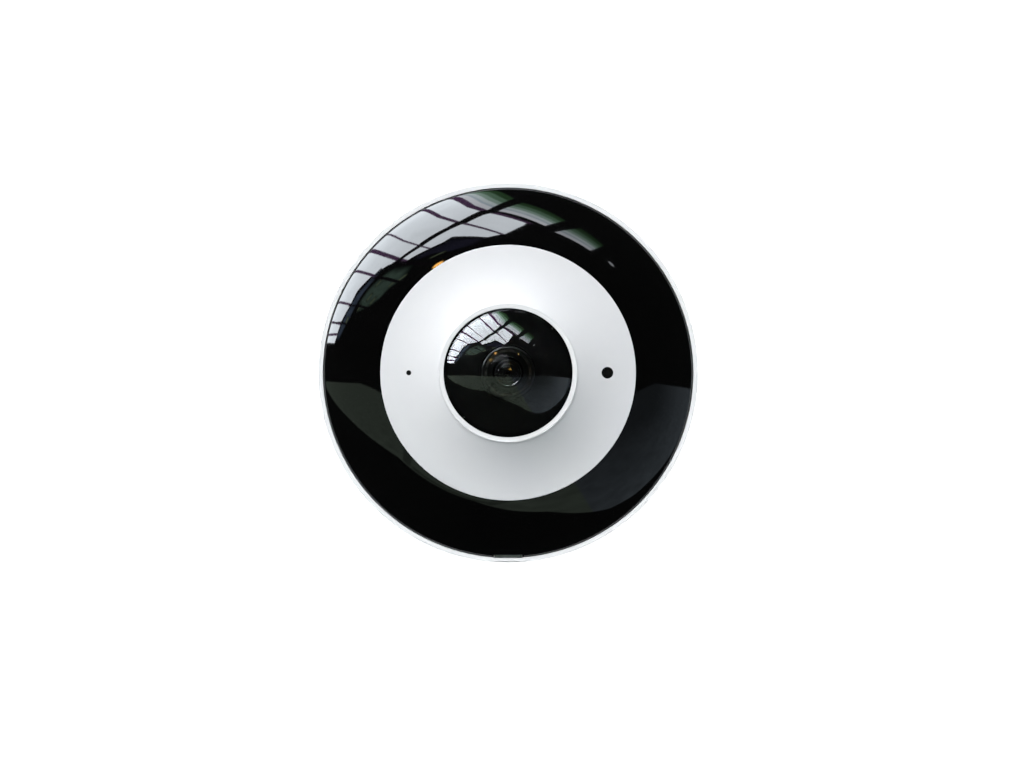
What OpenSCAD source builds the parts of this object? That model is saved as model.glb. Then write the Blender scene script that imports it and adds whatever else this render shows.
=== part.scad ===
// Fisheye IP camera for a ceiling or wall, in millimetres.
// It lies on its back: the mounting surface is z = 0, the lens looks along +Z and the
// release tab of the front is on the -Y side.

/* [Housing] */
// Outer diameter of the round body
body_d = 150; // [148:0.5:156]
// Wall of the rear housing's skirt
skirt_wall = 2.4; // [2:0.1:2.8]
// Gap between the skirt and the mounting surface
skirt_gap = 1; // [0.6:0.1:1.6]
// Height of the seam between the rear housing and the trim ring
seam_h = 13; // [12.8:0.1:13.6]
// Height of the trim ring's top edge
rim_h = 20.5; // [20.2:0.1:22]
// Width of the white rim round the window, which is also its rounding
rim_w = 1.9; // [1.6:0.1:2.2]
// Half width of the flat that is cut on the rim at the release tab
rim_flat_w = 8; // [6.5:0.5:9.5]
// Depth of that flat below the round rim
rim_flat_cut = 0.6; // [0.4:0.05:0.7]
// Height of the rear wall's outer face
floor_h = 5.4; // [5.2:0.1:5.8]
// Thickness of the rear wall
floor_t = 2; // [1.8:0.1:2.2]

/* [Mounting plate] */
// Width of the channel between the plate and the housing's skirt
channel_w = 10.2; // [9.6:0.1:11]
// Thickness of the plate
plate_t = 2; // [1.6:0.1:2.4]
// Diameter of the cable hole in the plate
cable_hole_d = 40; // [34:0.5:41]
// Distance of the cable hole's centre from the plate's edge
cable_hole_in = 24.9; // [24.4:0.1:26.4]
// Distance of the four wall screws from the plate's edge
wall_screw_in = 12.4; // [10.4:0.1:14.4]
// Diameter of the holes for wall screws and box screws
screw_hole_d = 4.5; // [4:0.1:5]
// Spacing of the two junction box holes
box_hole_span = 83.5; // [80:0.5:86]
// How far the bayonet hooks reach out from the plate's edge
hook_reach = 6.6; // [6:0.1:7]
// Thickness of the hooks
hook_t = 1.8; // [1.5:0.1:2]
// Angle that one hook covers
hook_angle = 16; // [14:0.5:18]
// Angle that one bayonet lug of the housing covers
lug_angle = 13; // [10:0.5:13]

/* [Cable bay] */
// Width of the cable bay
bay_w = 58; // [57:0.5:60]
// Distance of the bay's socket wall from the axis
bay_y = 26; // [25.5:0.5:28]
// Height of the bay's ceiling above the mounting surface
bay_h = 18.6; // [18.4:0.1:18.8]
// Wall of the bay
bay_wall = 2; // [1.6:0.1:2.2]
// Width of the network jack
jack_w = 16; // [15.5:0.1:16.2]
// Height of the network jack
jack_h = 11.6; // [11.2:0.1:11.9]
// Depth of the network jack
jack_l = 21; // [18:0.5:21.5]
// Width of the plug opening in the jack
jack_mouth_w = 11.8; // [11.7:0.1:12]
// Height of the plug opening in the jack
jack_mouth_h = 7; // [6.8:0.1:7.2]
// Width of the memory card
card_w = 11; // [10.8:0.1:11.2]
// Length of the memory card
card_l = 15; // [14:0.5:15.5]
// Thickness of the memory card
card_t = 0.8; // [0.7:0.05:0.9]
// Travel of the reset button
reset_travel = 0.3; // [0.2:0.05:0.4]

/* [Window ring] */
// Radius of the window ring's domed section
window_arc_r = 43.3; // [42:0.1:48]
// Slope of the window at its outer edge, in degrees
window_edge_slope = 55; // [50:0.5:56]
// Wall of the window ring
window_t = 2; // [1.8:0.1:2.2]
// Width of the slot for the release tab
tab_slot_w = 11.4; // [11:0.1:12]
// Depth of the slot from the window's outer edge
tab_slot_depth = 1.3; // [1.2:0.05:1.4]
// Travel of the release tab towards the axis
tab_travel = 1.5; // [1:0.1:1.5]

/* [Front cover] */
// Width of the white front cover's flare, from the collar to the window ring
cover_w = 23; // [22.2:0.1:23.7]
// Wall of the front cover
cover_t = 2; // [1.8:0.1:2.2]
// Slope of the cover at its outer edge, in degrees
cover_edge_slope = 5; // [3:0.5:7]
// Slope of the cover where it meets the collar, in degrees
collar_slope = 25; // [23:0.5:28]
// Width of the collar's rounded lip
lip_w = 1.6; // [1.4:0.1:1.7]
// How far the lip stands above the cover
lip_rise = 0.8; // [0.5:0.1:1.2]
// Distance of the microphone and the light sensor from the cover's edge
sensor_hole_in = 11.3; // [11.1:0.1:11.5]
// Diameter of the microphone hole
mic_hole_d = 2; // [1.5:0.1:2.5]
// Diameter of the light sensor's window
light_hole_d = 4.6; // [4:0.1:5]

/* [Dome] */
// How far the clear dome rises above the middle of the lip
dome_rise = 14.77; // [14.2:0.1:15.4]
// Diameter of the dome where it leaves the collar
dome_d = 51; // [50.8:0.1:51.2]
// Wall of the dome
dome_t = 2; // [1.8:0.1:2.2]
// Width of the dome's clamped flange, from where the dome leaves the collar
dome_flange_w = 6; // [5.8:0.1:6.1]
// Thickness of the dome's flange
dome_flange_t = 1.6; // [1.4:0.1:1.8]
// Cord thickness of the dome's seal
dome_seal_t = 1.5; // [1.3:0.1:1.6]

/* [Lens] */
// Height of the lens head's front edge above the collar's lip
lens_stand = 3.9; // [3.6:0.1:4.2]
// Diameter of the lens head
lens_head_d = 21; // [20.6:0.1:21.4]
// Length of the lens head
lens_head_l = 9.6; // [9.2:0.1:9.8]
// Diameter of the lens thread
lens_thread_d = 12; // [11.6:0.1:12.2]
// Length of the whole lens barrel
lens_len = 17.2; // [17:0.1:17.3]
// Diameter of the front glass
front_glass_d = 18.2; // [18:0.1:18.4]
// Radius of the front glass's outer surface
front_glass_r = 10.5; // [10.3:0.1:11.5]
// Distance from the lens head's front edge down to the sensor board
lens_to_board = 22; // [21.8:0.1:22.2]

/* [Day and night filter] */
// Travel of the filter slider between its two filters
filter_travel = 6.3; // [5.9:0.1:6.4]
// Width of the slider
slider_w = 8; // [7.6:0.1:8.2]
// Thickness of the slider
slider_t = 1.4; // [1.3:0.05:1.5]
// Size of one square filter glass
filter_size = 5.6; // [5.4:0.1:5.8]
// Distance from the arm's pivot to its pin
arm_r = 9; // [8.8:0.1:9.4]

/* [Boards] */
// Thickness of the circuit boards
board_t = 1.6; // [1.4:0.1:1.7]
// Gap between the rear wall and the main board
board_gap = 1.2; // [1.1:0.1:1.3]
// Width of the sensor board
sensor_board_w = 45; // [44:0.5:48]
// Height of the infrared light board's underside
led_board_h = 21.2; // [21:0.1:21.6]
// Number of infrared lights
led_count = 12; // [6:1:12]
// Thickness of the front board
front_board_t = 1.2; // [1:0.1:1.3]

/* [Hidden] */
// The name of each node
$fn = 96;

// Overrun of every cut
over = 0.5;
// Clearance of pieces that slide on each other
slide_gap = 0.15;
// Clearance of pieces that are only placed together
place_gap = 0.1;
// Gap of the seam between the two halves of the housing
seam_gap = 0.3;
// Clearance round the bayonet
bayonet_gap = 0.6;

// Housing, from the mounting surface up
body_r = body_d / 2;
skirt_in_r = body_r - skirt_wall;
floor_top = floor_h + floor_t;
plate_r = skirt_in_r - channel_w;
cable_hole_y = plate_r - cable_hole_in;
wall_screw_r = plate_r - wall_screw_in;
hook_wall = 2;
hook_rise = 5.2;
hook_top = plate_t + hook_rise;
hook_under = hook_top - hook_t;
lug_t = 2;
lug_r = plate_r + bayonet_gap;
lug_top = hook_under - bayonet_gap * 2 / 3;
hook_angles = [90, 210, 330];
stop_angle = 1;
step_out_r = plate_r - hook_wall - bayonet_gap * 5 / 3;
step_in_r = step_out_r - floor_t;
roof_under = hook_top + bayonet_gap * 2;
roof_top = roof_under + floor_t;
ledge_w = 2.6;
ledge_rise = 1.9;
ledge_r = skirt_in_r - ledge_w;
ledge_top = roof_top + ledge_rise;
seal_t = 1.4;
seal_r = ledge_r + ledge_w / 2 - place_gap;
trim_skirt_gap = 0.3;
trim_skirt_r = skirt_in_r - trim_skirt_gap;
trim_skirt_z = ledge_top + seal_t;
board_boss_r = 3;
board_boss_skin = 0.8;
post_root = 2;

// Window ring: a circular arc section round the axis
window_r = body_r - rim_w;
window_land = 2.2;
window_seat = rim_h - window_land;
arc_c = window_r - window_arc_r * sin(window_edge_slope);
arc_z = rim_h - window_arc_r * cos(window_edge_slope);
function window_z(r) = arc_z + sqrt(pow(window_arc_r, 2) - pow(r - arc_c, 2));

// Front cover: a concave flare from the window's inner edge up to the collar
collar_r = dome_d / 2 + lip_w + 2 * place_gap;
cover_r = collar_r + cover_w;
cover_step = 0.25;
cover_edge_z = window_z(cover_r) + cover_step;
flare_r = (cover_r - collar_r) / (sin(collar_slope) - sin(cover_edge_slope));
flare_c = cover_r + flare_r * sin(cover_edge_slope);
flare_z = cover_edge_z + flare_r * cos(cover_edge_slope);
function cover_top(r) = flare_z - sqrt(pow(flare_r, 2) - pow(flare_c - r, 2));
function cover_under(r) = flare_z - sqrt(pow(flare_r + cover_t, 2) - pow(flare_c - r, 2));
lip_z = cover_top(collar_r) + lip_rise;
window_flange_t = 1.7;
window_flange_w = 6.8;
window_screw_in = 2.1;
window_flange_top = cover_under(cover_r) - place_gap;
window_flange_z = window_flange_top - window_flange_t;
window_flange_r = cover_r - window_flange_w;
window_screw_r = window_flange_r + window_screw_in;

// Dome, its flange and what clamps it
dome_rim_z = lip_z - lip_w / 2;
dome_r = (pow(dome_d / 2, 2) + pow(dome_rise, 2)) / dome_rise / 2;
dome_c = dome_rim_z - sqrt(pow(dome_r, 2) - pow(dome_d / 2, 2));
dome_in_r = dome_r - dome_t;
flange_r = dome_d / 2 + dome_flange_w;
seat_z = cover_under(flange_r);
seat_w = 3.6;
dome_seal_in = 1.3;
flange_top = seat_z - dome_seal_t;
flange_z = flange_top - dome_flange_t;
dome_seal_r = flange_r - dome_seal_in;
clamp_wall = 2.5;
clamp_t = 1.5;
clamp_reach = 4.9;
clamp_r = flange_r + 2 * place_gap + clamp_wall;
clamp_z = flange_z - clamp_t;
clamp_in_r = flange_r - clamp_reach;
clamp_screw_r = clamp_r - clamp_wall / 2;
mask_flange_t = 1.2;
mask_flange_in = 1.5;
mask_flange_z = clamp_z - mask_flange_t;
mask_flange_r = flange_r - mask_flange_in;

// Front board with the microphone and the light sensor
sensor_hole_r = cover_r - sensor_hole_in;
boss_r = 4.5;
pad_z = cover_under(sensor_hole_r + boss_r);
part_space = 2.6;
front_board_gap = 0.6;
front_board_z = pad_z - part_space - front_board_t;
front_board_top = pad_z - part_space;
mic_r = 3;
mic_h = 2;
boot_wall = 0.8;
front_board_in_r = clamp_r + front_board_gap;
front_board_out_r = window_flange_r - front_board_gap - place_gap;
front_post_r = (front_board_in_r + front_board_out_r) / 2;
front_post_size = 2;
front_post_angles = [90, 210, 330];

// Lens stack, from the front edge down
lens_front_z = lip_z + lens_stand;
lens_head_z = lens_front_z - lens_head_l;
lens_rear_z = lens_front_z - lens_len;
front_bezel = 2;
front_rim_z = lens_front_z - front_bezel;
front_glass_c = front_rim_z - sqrt(pow(front_glass_r, 2) - pow(front_glass_d / 2, 2));
front_glass_edge = 1.8;
front_glass_hollow = 5.6;
front_seat_z = front_rim_z - front_glass_edge;
bore_mid_r = 5.6;
bore_rear_r = 3.8;
bore_floor = 1.2;
bore_step_z = lens_head_z + bore_floor;
sensor_board_top = lens_front_z - lens_to_board;
sensor_board_z = sensor_board_top - board_t;
holder_x = 26;
holder_y = 16;
holder_drop = 2;
holder_top = lens_head_z - holder_drop;
holder_wall = 2.2;
holder_neck_r = lens_thread_d / 2 + holder_wall;
channel_h = slider_t + 2 * slide_gap;
channel_top = lens_rear_z - 2 * place_gap;
channel_z = channel_top - channel_h;
slider_z = channel_z + slide_gap;
block_top = channel_top + holder_wall;
sensor_space = 11;
sensor_size = 9.6;
sensor_rim = 1;
sensor_h = 1.2;
slider_half = slider_w / 2;
slider_frame = 3;
slider_len = 2 * filter_size + slider_frame;
swing = asin(filter_travel / 2 / arm_r);
ear_w = 3.2;
ear_reach = 3.9;
ear_out = holder_y / 2 + ear_reach;
arm_pin_r = 0.6;
arm_pin_out = 1.6;
arm_pin_y = -holder_y / 2 - arm_pin_out;
pivot_y = arm_pin_y - arm_r;
pivot_r = 0.75;
arm_t = 1;
arm_lift = 0.5;
arm_z = slider_z + slider_t + arm_lift;
magnet_r = 2.6;
motor_base_t = 1;
magnet_gap = 0.4;
yoke_t = 1;
yoke_l = 6.4;
core_h = 1.2;
coil_z = 1.5;
magnet_z = sensor_board_top + motor_base_t + 2 * slide_gap;
holder_lug_w = 3.5;
holder_screw_x = holder_x / 2 + holder_lug_w / 2 + place_gap / 2;
holder_lug_t = 2;

// Boards
board_z = floor_top + board_gap;
board_top = board_z + board_t;
board_edge_gap = 2;
board_r = step_in_r - board_edge_gap;
wall_y = bay_y - bay_wall;
board_edge_y = wall_y - 2 * slide_gap;
boss_shares = [[0.9, 0.25], [-0.9, 0.25], [0.58, -0.76], [-0.58, -0.76]];
boss_places = board_r * boss_shares;
standoff_in = 3;
standoff_x = sensor_board_w / 2 - standoff_in;
motor_space = 8.4;
sensor_board_y0 = pivot_y - motor_space;
sensor_board_y1 = 15;
standoff_y0 = sensor_board_y0 + standoff_in;
standoff_y1 = sensor_board_y1 - standoff_in;
standoff_places = [[standoff_x, standoff_y1], [-standoff_x, standoff_y1],
    [standoff_x, standoff_y0], [-standoff_x, standoff_y0]];
standoff_r = 2.2;
led_board_in = 1.9;
led_board_in_r = cover_r - led_board_in;
led_board_out = 6.6;
led_board_out_r = window_r - led_board_out;
led_circle_r = (led_board_in_r + led_board_out_r) / 2;
led_board_top = led_board_h + board_t;
led_size = 3.5;
led_h = 1;
led_post_r = 2.5;
led_post_in = 4.5;
led_post_circle = led_board_out_r - led_post_in;
led_post_angles = [45, 135, 225, 315];
baffle_edge = 0.6;
baffle_in_r = led_board_in_r + baffle_edge;
baffle_t = 1.5;
jack_x = -8.5;
jack_floor = 0.9;
jack_depth_share = 0.7;
socket_y = wall_y - place_gap;
port_gap = 0.5;
card_x = 8;
card_lift = 0.5;
card_z = board_top + card_lift;
card_proud = 0.6;
card_end_y = bay_y + card_proud;
socket_wall = 1.5;
socket_w = card_w + 2 * socket_wall;
socket_l = card_l;
socket_h = 1.9;
reset_x = 19.5;
reset_lift = 1.9;
reset_z = board_top + reset_lift;
reset_r = 0.9;
reset_body = 4;
button_gap = 0.4;
button_out = 1;
button_in = 1.2;
switch_front = 0.4;
terminal_lip = 0.4;
terminal_x = -23.4;
terminal_w = 8;
terminal_h = 8;
terminal_l = 9;

// Parts of the main board. Places are shares of the board's radius, sizes of the processor's
chip_size = 15;
pad_t = 0.4;
processor_share = -0.253;
memory_shares = [[0.15, -0.08, 0.8, 0.6, 0.073], [0.15, -0.31, 0.8, 0.6, 0.073],
    [0.505, -0.36, 0.53, 0.4, 0.107]];
control_shares = [[-0.54, 0.108, 0.467, 0.467, 0.06], [0.54, 0.036, 0.4, 0.4, 0.06],
    [0.686, -0.505, 0.333, 0.267, 0.1], [-0.18, -0.686, 0.333, 0.4, 0.107],
    [-0.794, -0.108, 0.267, 0.333, 0.1]];
inductor_shares = [[-0.722, -0.325, 0.467, 0.467, 0.267], [-0.487, -0.505, 0.4, 0.4, 0.2],
    [0.65, -0.18, 0.4, 0.4, 0.2], [0.036, -0.758, 0.333, 0.333, 0.167]];
capacitor_shares = [[-0.614, -0.54], [-0.433, -0.686], [-0.83, 0.108], [0.794, -0.29]];
transformer_shares = [[-0.54, -0.108, 0.867, 0.733, 0.6], [-0.126, -0.217, 0.667, 1, 0.373]];
connector_shares = [[0.686, 0.217, 0.267, 0.533, 0.267]];
battery_shares = [0.758, -0.036];
connector_l = 4;
connector_w = 14;
connector_h = 1.6;
side_connector_w = 8;
side_cable_angle = 300;
loop_gap = 1;
loop_space = 3.4;
loop_y = sensor_board_y0 - loop_space;

// Release tab and catch, as distances from the axis towards the tab
tab_t = 1;
tab_gap = 0.2;
tab_out = window_r - tab_gap;
tab_in = tab_out - tab_t;
tab_w = tab_slot_w - 4 * tab_gap;
foot_lift = 0.5;
foot_z = trim_skirt_z + foot_lift;
foot_t = 1.2;
foot_w = tab_w;
foot_l = 7.8;
foot_in = tab_out - foot_l;
foot_hole_l = 3.5;
foot_hole_edge = 2.3;
foot_hole_out = tab_out - foot_hole_edge;
foot_hole_in = foot_hole_out - foot_hole_l;
foot_hole_w = 3.4;
nose_reach = 0.6;
catch_nose_in = foot_hole_in - nose_reach;
catch_gap = 0.4;
catch_post_in = foot_hole_in + catch_gap;
catch_post_t = 1;
catch_w = 2.4;
nose_z = foot_z + foot_t + tab_gap;
nose_t = 1;
rib_t = 1.2;
spring_space = 9.9;
spring_rib = tab_out - spring_space;
spring_out_r = 1.5;
spring_wire_r = 0.25;
spring_turns = 7;
spring_lift = 2.9;
spring_z = foot_z + foot_t + spring_lift;
cheek_t = 1.2;
rail_t = 0.7;
fixed_catch_angles = [30, 150];

// Fasteners
small_head_r = 1.5;
small_head_h = 1.1;
small_shank_r = 0.8;
board_head_r = 2.2;
board_head_h = 1.5;
board_shank_r = 1.1;
hex_share = 0.55;
clamp_bite = 2.8;
window_bite = 1.5;
front_bite = 1.8;
board_bite = 0.9;
standoff_bite = 3;
post_bite = 5;
holder_bite = 3;

// A plain tube standing on z = 0
module tube(r_out, r_in, h) {
    difference() {
        cylinder(r = r_out, h = h);
        translate([0, 0, -over]) cylinder(r = r_in, h = h + 2 * over);
    }
}

// A box centred on the axis in x and y, standing on z = 0
module block(x, y, z) {
    translate([-x / 2, -y / 2, 0]) cube([x, y, z]);
}

// A sector of a tube, centred on the +X direction
module sector(r_out, r_in, h, angle) {
    rotate([0, 0, -angle / 2])
        rotate_extrude(angle = angle) translate([r_in, 0]) square([r_out - r_in, h]);
}

// A socket head screw, its head's underside at z = 0 and its shank pointing down
module screw(head_r, head_h, shank_r, len) {
    difference() {
        union() {
            cylinder(r = head_r, h = head_h, $fn = 32);
            translate([0, 0, -len]) cylinder(r = shank_r, h = len + over, $fn = 24);
        }
        translate([0, 0, head_h / 2]) cylinder(r = head_r * hex_share, h = head_h, $fn = 6);
    }
}

// Places its children at a radius and an angle, turned to face outwards
module at_polar(r, angle) {
    rotate([0, 0, angle]) translate([r, 0, 0]) children();
}

// The half plane of positive x, from z0 up to z1
module half_plane(z0, z1) {
    translate([0, z0]) square([body_r, z1 - z0]);
}

module mounting_plate() {
    hook_out_r = plate_r - 2 * place_gap;
    hook_in_r = hook_out_r - hook_wall;
    color("gainsboro") difference() {
        union() {
            rotate_extrude() polygon([[0, 0], [plate_r, 0], [plate_r, plate_t + hook_wall / 2],
                [plate_r - hook_wall, plate_t + hook_wall / 2], [plate_r - hook_wall, plate_t],
                [0, plate_t]]);
            for (a = hook_angles) rotate([0, 0, a]) {
                rotate([0, 0, -hook_angle / 2]) rotate_extrude(angle = hook_angle)
                    polygon([[hook_in_r, plate_t / 2], [hook_out_r, plate_t / 2],
                        [hook_out_r, hook_under], [plate_r + hook_reach, hook_under],
                        [plate_r + hook_reach, hook_top], [hook_in_r, hook_top]]);
                rotate([0, 0, stop_angle / 5 - (hook_angle - stop_angle) / 2])
                    translate([0, 0, plate_t + hook_wall / 4]) sector(plate_r + hook_reach - place_gap,
                        hook_out_r - hook_wall / 2, hook_under - plate_t, stop_angle);
            }
        }
        translate([0, cable_hole_y, -over]) cylinder(d = cable_hole_d, h = plate_t + 2 * over);
        for (a = [45 : 90 : 315]) at_polar(wall_screw_r, a)
            translate([0, 0, -over]) cylinder(d = screw_hole_d, h = plate_t + 2 * over);
        for (x = [-1, 1]) translate([x * box_hole_span / 2, 0, -over])
            cylinder(d = screw_hole_d, h = plate_t + 2 * over);
    }
}

// The rear housing's section: skirt, raised channel for the hooks, ledge and rear wall
module rear_section() {
    polygon([[0, floor_h], [step_out_r, floor_h], [step_out_r, roof_under],
        [skirt_in_r, roof_under], [skirt_in_r, skirt_gap], [body_r - skirt_gap / 2, skirt_gap],
        [body_r, skirt_gap + skirt_gap / 2], [body_r, seam_h], [skirt_in_r, seam_h],
        [skirt_in_r, ledge_top], [ledge_r, ledge_top], [ledge_r, roof_top],
        [step_in_r, roof_top], [step_in_r, floor_top], [0, floor_top]]);
}

// A nosed post of the rear housing that holds the trim ring's foot, facing +X
module catch_post() {
    translate([catch_post_in, -catch_w / 2, roof_top - over])
        cube([catch_post_t, catch_w, nose_z + nose_t - roof_top + over]);
    translate([catch_nose_in, -catch_w / 2, nose_z])
        cube([catch_post_in + catch_post_t - catch_nose_in, catch_w, nose_t]);
}

module rear_housing() {
    bay_out = bay_w + 2 * bay_wall;
    color("white") difference() {
        union() {
            rotate_extrude() rear_section();
            intersection() {
                translate([-bay_out / 2, wall_y, floor_h])
                    cube([bay_out, body_r, bay_h + bay_wall - floor_h - place_gap]);
                cylinder(r = step_out_r, h = body_r);
            }
            for (a = hook_angles) rotate([0, 0, a])
                translate([0, 0, lug_top - lug_t])
                    sector(skirt_in_r + skirt_wall / 2, lug_r, lug_t, lug_angle);
            for (p = boss_places) translate([p[0], p[1], floor_top - over])
                cylinder(r = board_boss_r, h = board_gap + over);
            for (a = led_post_angles) at_polar(led_post_circle, a)
                translate([0, 0, roof_top - over])
                    cylinder(r = led_post_r, h = led_board_h - roof_top + over);
            for (a = concat(fixed_catch_angles, [270])) rotate([0, 0, a]) catch_post();
        }
        intersection() {
            translate([-bay_w / 2, bay_y, 0]) cube([bay_w, body_r, bay_h]);
            translate([0, 0, -over]) cylinder(r = step_in_r, h = body_r);
        }
        translate([jack_x - jack_mouth_w / 2 - port_gap, wall_y - over, board_top + port_gap - place_gap])
            cube([jack_mouth_w + 2 * port_gap, bay_wall + 2 * over, jack_mouth_h + 2 * port_gap - place_gap]);
        translate([card_x - card_w / 2 - port_gap, wall_y - over, card_z - port_gap])
            cube([card_w + 2 * port_gap, bay_wall + 2 * over, card_t + 2 * port_gap]);
        translate([terminal_x - terminal_w / 2 + terminal_lip, wall_y - over, board_top + 2 * terminal_lip])
            cube([terminal_w - 2 * terminal_lip, bay_wall + 2 * over, terminal_h - 3 * terminal_lip]);
        translate([reset_x, bay_y + over, reset_z]) rotate([90, 0, 0])
            cylinder(r = reset_r + button_gap, h = bay_wall + 2 * over, $fn = 32);
        for (p = boss_places) translate([p[0], p[1], floor_h + board_boss_skin])
            cylinder(r = board_shank_r, h = board_z, $fn = 24);
        for (a = led_post_angles) at_polar(led_post_circle, a)
            translate([0, 0, roof_top + post_root]) cylinder(r = board_shank_r, h = led_board_h, $fn = 24);
    }
}

module housing_seal() {
    color("dimgray") rotate_extrude() translate([seal_r, ledge_top + seal_t / 2])
        circle(d = seal_t, $fn = 24);
}

// The foot that a catch post holds, facing +X
module catch_foot() {
    difference() {
        translate([foot_in, -foot_w / 2, foot_z]) cube([tab_out - foot_in, foot_w, foot_t]);
        translate([foot_hole_in, -foot_hole_w / 2, foot_z - over])
            cube([foot_hole_out - foot_hole_in, foot_hole_w, foot_t + 2 * over]);
    }
}

module trim_section() {
    turn_r = body_r - window_r - place_gap / 2;
    polygon([[trim_skirt_r, seam_h + seam_gap], [body_r, seam_h + seam_gap], [body_r, rim_h - turn_r],
        [body_r - turn_r, rim_h - turn_r], [body_r - turn_r, rim_h], [body_r - turn_r, window_seat],
        [ledge_r, window_seat], [ledge_r, trim_skirt_z], [trim_skirt_r, trim_skirt_z]]);
    intersection() {
        translate([body_r - turn_r, rim_h - turn_r]) circle(r = turn_r);
        translate([body_r - turn_r, rim_h - turn_r]) square([turn_r, turn_r]);
    }
}

// Guides, floor and spring rib for the release tab, facing +X
module tab_guides() {
    guide_in = spring_rib - rib_t;
    side = foot_w / 2 + tab_gap;
    for (s = [-1, 1]) translate([guide_in, s * (side + cheek_t / 2) - cheek_t / 2, foot_z - tab_gap])
        cube([ledge_r + trim_skirt_gap * 2 - guide_in, cheek_t, foot_t + 2 * cheek_t]);
    for (s = [-1, 1]) translate([guide_in, s * (side - rail_t) - cheek_t, foot_z - tab_gap - rail_t])
        cube([ledge_r - trim_skirt_gap - guide_in, 2 * cheek_t, rail_t + place_gap / 2]);
    translate([guide_in, -side - cheek_t, foot_z - tab_gap - rail_t])
        cube([rib_t, 2 * (side + cheek_t), spring_z + spring_out_r - foot_z + cheek_t]);
}

module trim_ring() {
    slot_in = ledge_r - cheek_t;
    color("white") difference() {
        union() {
            difference() {
                rotate_extrude() trim_section();
                translate([-tab_slot_w / 2, -tab_out - tab_gap, seam_h + seam_gap + place_gap])
                    cube([tab_slot_w, tab_out + tab_gap - slot_in, rim_h]);
            }
            rotate([0, 0, 270]) tab_guides();
            for (a = fixed_catch_angles) rotate([0, 0, a]) catch_foot();
        }
        translate([-rim_flat_w * 2, -body_r - over, seam_h])
            cube([rim_flat_w * 4, rim_flat_cut + over, rim_h]);
    }
}

// The window's section: the domed band, its outer wall and its inner flange
module window_section() {
    difference() {
        union() {
            intersection() {
                translate([arc_c, arc_z]) difference() {
                    circle(r = window_arc_r, $fn = 180);
                    circle(r = window_arc_r - window_t, $fn = 180);
                }
                translate([cover_r - over, rim_h - window_t])
                    square([window_r - cover_r + 2 * over, window_arc_r]);
            }
            translate([window_r - window_t, window_seat])
                square([window_t + over, rim_h - window_t / 4 - window_seat]);
            translate([cover_r - over, window_flange_z])
                square([window_t + over, window_z(cover_r) - window_t / 2 - window_flange_z]);
            translate([window_flange_r, window_flange_z])
                square([cover_r + window_t / 2 - window_flange_r, window_flange_t]);
        }
        translate([window_r, 0]) square([window_t, window_arc_r]);
        translate([0, window_flange_top]) square([cover_r, window_arc_r]);
    }
}

module ir_window() {
    slot_out = window_r + over;
    pocket_in = tab_in - tab_travel - tab_gap;
    color("black") difference() {
        rotate_extrude() window_section();
        translate([-tab_slot_w / 2, -slot_out, window_seat - over])
            cube([tab_slot_w, slot_out - window_r + tab_slot_depth, window_arc_r]);
        translate([-tab_slot_w / 2, -slot_out, window_seat - over])
            cube([tab_slot_w, slot_out - pocket_in, rim_h + tab_gap - window_seat + over]);
        for (a = [0 : 90 : 270]) at_polar(window_screw_r, a + 45)
            translate([0, 0, window_flange_z - over])
                cylinder(r = small_shank_r + place_gap, h = window_flange_t + 2 * over, $fn = 24);
    }
}

module cover_section() {
    skirt_top = cover_under(flange_r) + cover_t / 4;
    difference() {
        union() {
            intersection() {
                translate([flare_c, flare_z]) difference() {
                    circle(r = flare_r + cover_t, $fn = 180);
                    circle(r = flare_r, $fn = 180);
                }
                translate([dome_d / 2, pad_z - cover_t]) square([cover_r - place_gap - dome_d / 2, dome_r]);
            }
            translate([collar_r - lip_w / 2, lip_z - lip_w / 2]) circle(d = lip_w, $fn = 48);
            translate([collar_r - lip_w, cover_under(collar_r)])
                square([lip_w, lip_z - lip_w / 2 - cover_under(collar_r)]);
            translate([flange_r - seat_w, seat_z]) square([seat_w + place_gap * 3, cover_t]);
            translate([flange_r + 2 * place_gap, flange_z]) square([clamp_wall, skirt_top - flange_z]);
        }
        translate([0, dome_c]) circle(r = dome_r + slide_gap, $fn = 180);
    }
}

module front_cover() {
    color("white") difference() {
        union() {
            rotate_extrude() cover_section();
            for (s = [-1, 1]) translate([s * sensor_hole_r, 0, pad_z])
                cylinder(r = boss_r, h = cover_t * 3 / 4);
            for (a = front_post_angles) at_polar(front_post_r, a)
                translate([0, 0, front_board_top])
                    cylinder(r = front_post_size, h = pad_z - front_board_top + cover_t * 3 / 4);
        }
        translate([-sensor_hole_r, 0, pad_z - over]) cylinder(d = mic_hole_d, h = dome_r, $fn = 32);
        translate([sensor_hole_r, 0, pad_z - over]) cylinder(d = light_hole_d, h = dome_r, $fn = 48);
        for (a = front_post_angles) at_polar(front_post_r, a)
            translate([0, 0, front_board_top - over])
                cylinder(r = small_shank_r, h = front_bite + 2 * place_gap + over, $fn = 24);
        for (a = [0 : 90 : 270]) {
            at_polar(clamp_screw_r, a) translate([0, 0, flange_z - over])
                cylinder(r = small_shank_r, h = clamp_bite + 2 * place_gap + over, $fn = 24);
            at_polar(window_screw_r, a + 45) translate([0, 0, window_flange_top - over])
                cylinder(r = small_shank_r, h = window_bite + 2 * place_gap + over, $fn = 24);
        }
    }
}

module cover_screws() {
    color("silver") {
        for (a = [0 : 90 : 270]) {
            at_polar(clamp_screw_r, a) translate([0, 0, clamp_z]) mirror([0, 0, 1])
                screw(small_head_r, small_head_h, small_shank_r, clamp_t + clamp_bite);
            at_polar(window_screw_r, a + 45) translate([0, 0, window_flange_z]) mirror([0, 0, 1])
                screw(small_head_r, small_head_h, small_shank_r, window_flange_t + window_bite);
        }
        for (a = front_post_angles) at_polar(front_post_r, a) translate([0, 0, front_board_z])
            mirror([0, 0, 1]) screw(small_head_r, small_head_h, small_shank_r, front_board_t + front_bite);
    }
}

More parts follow.
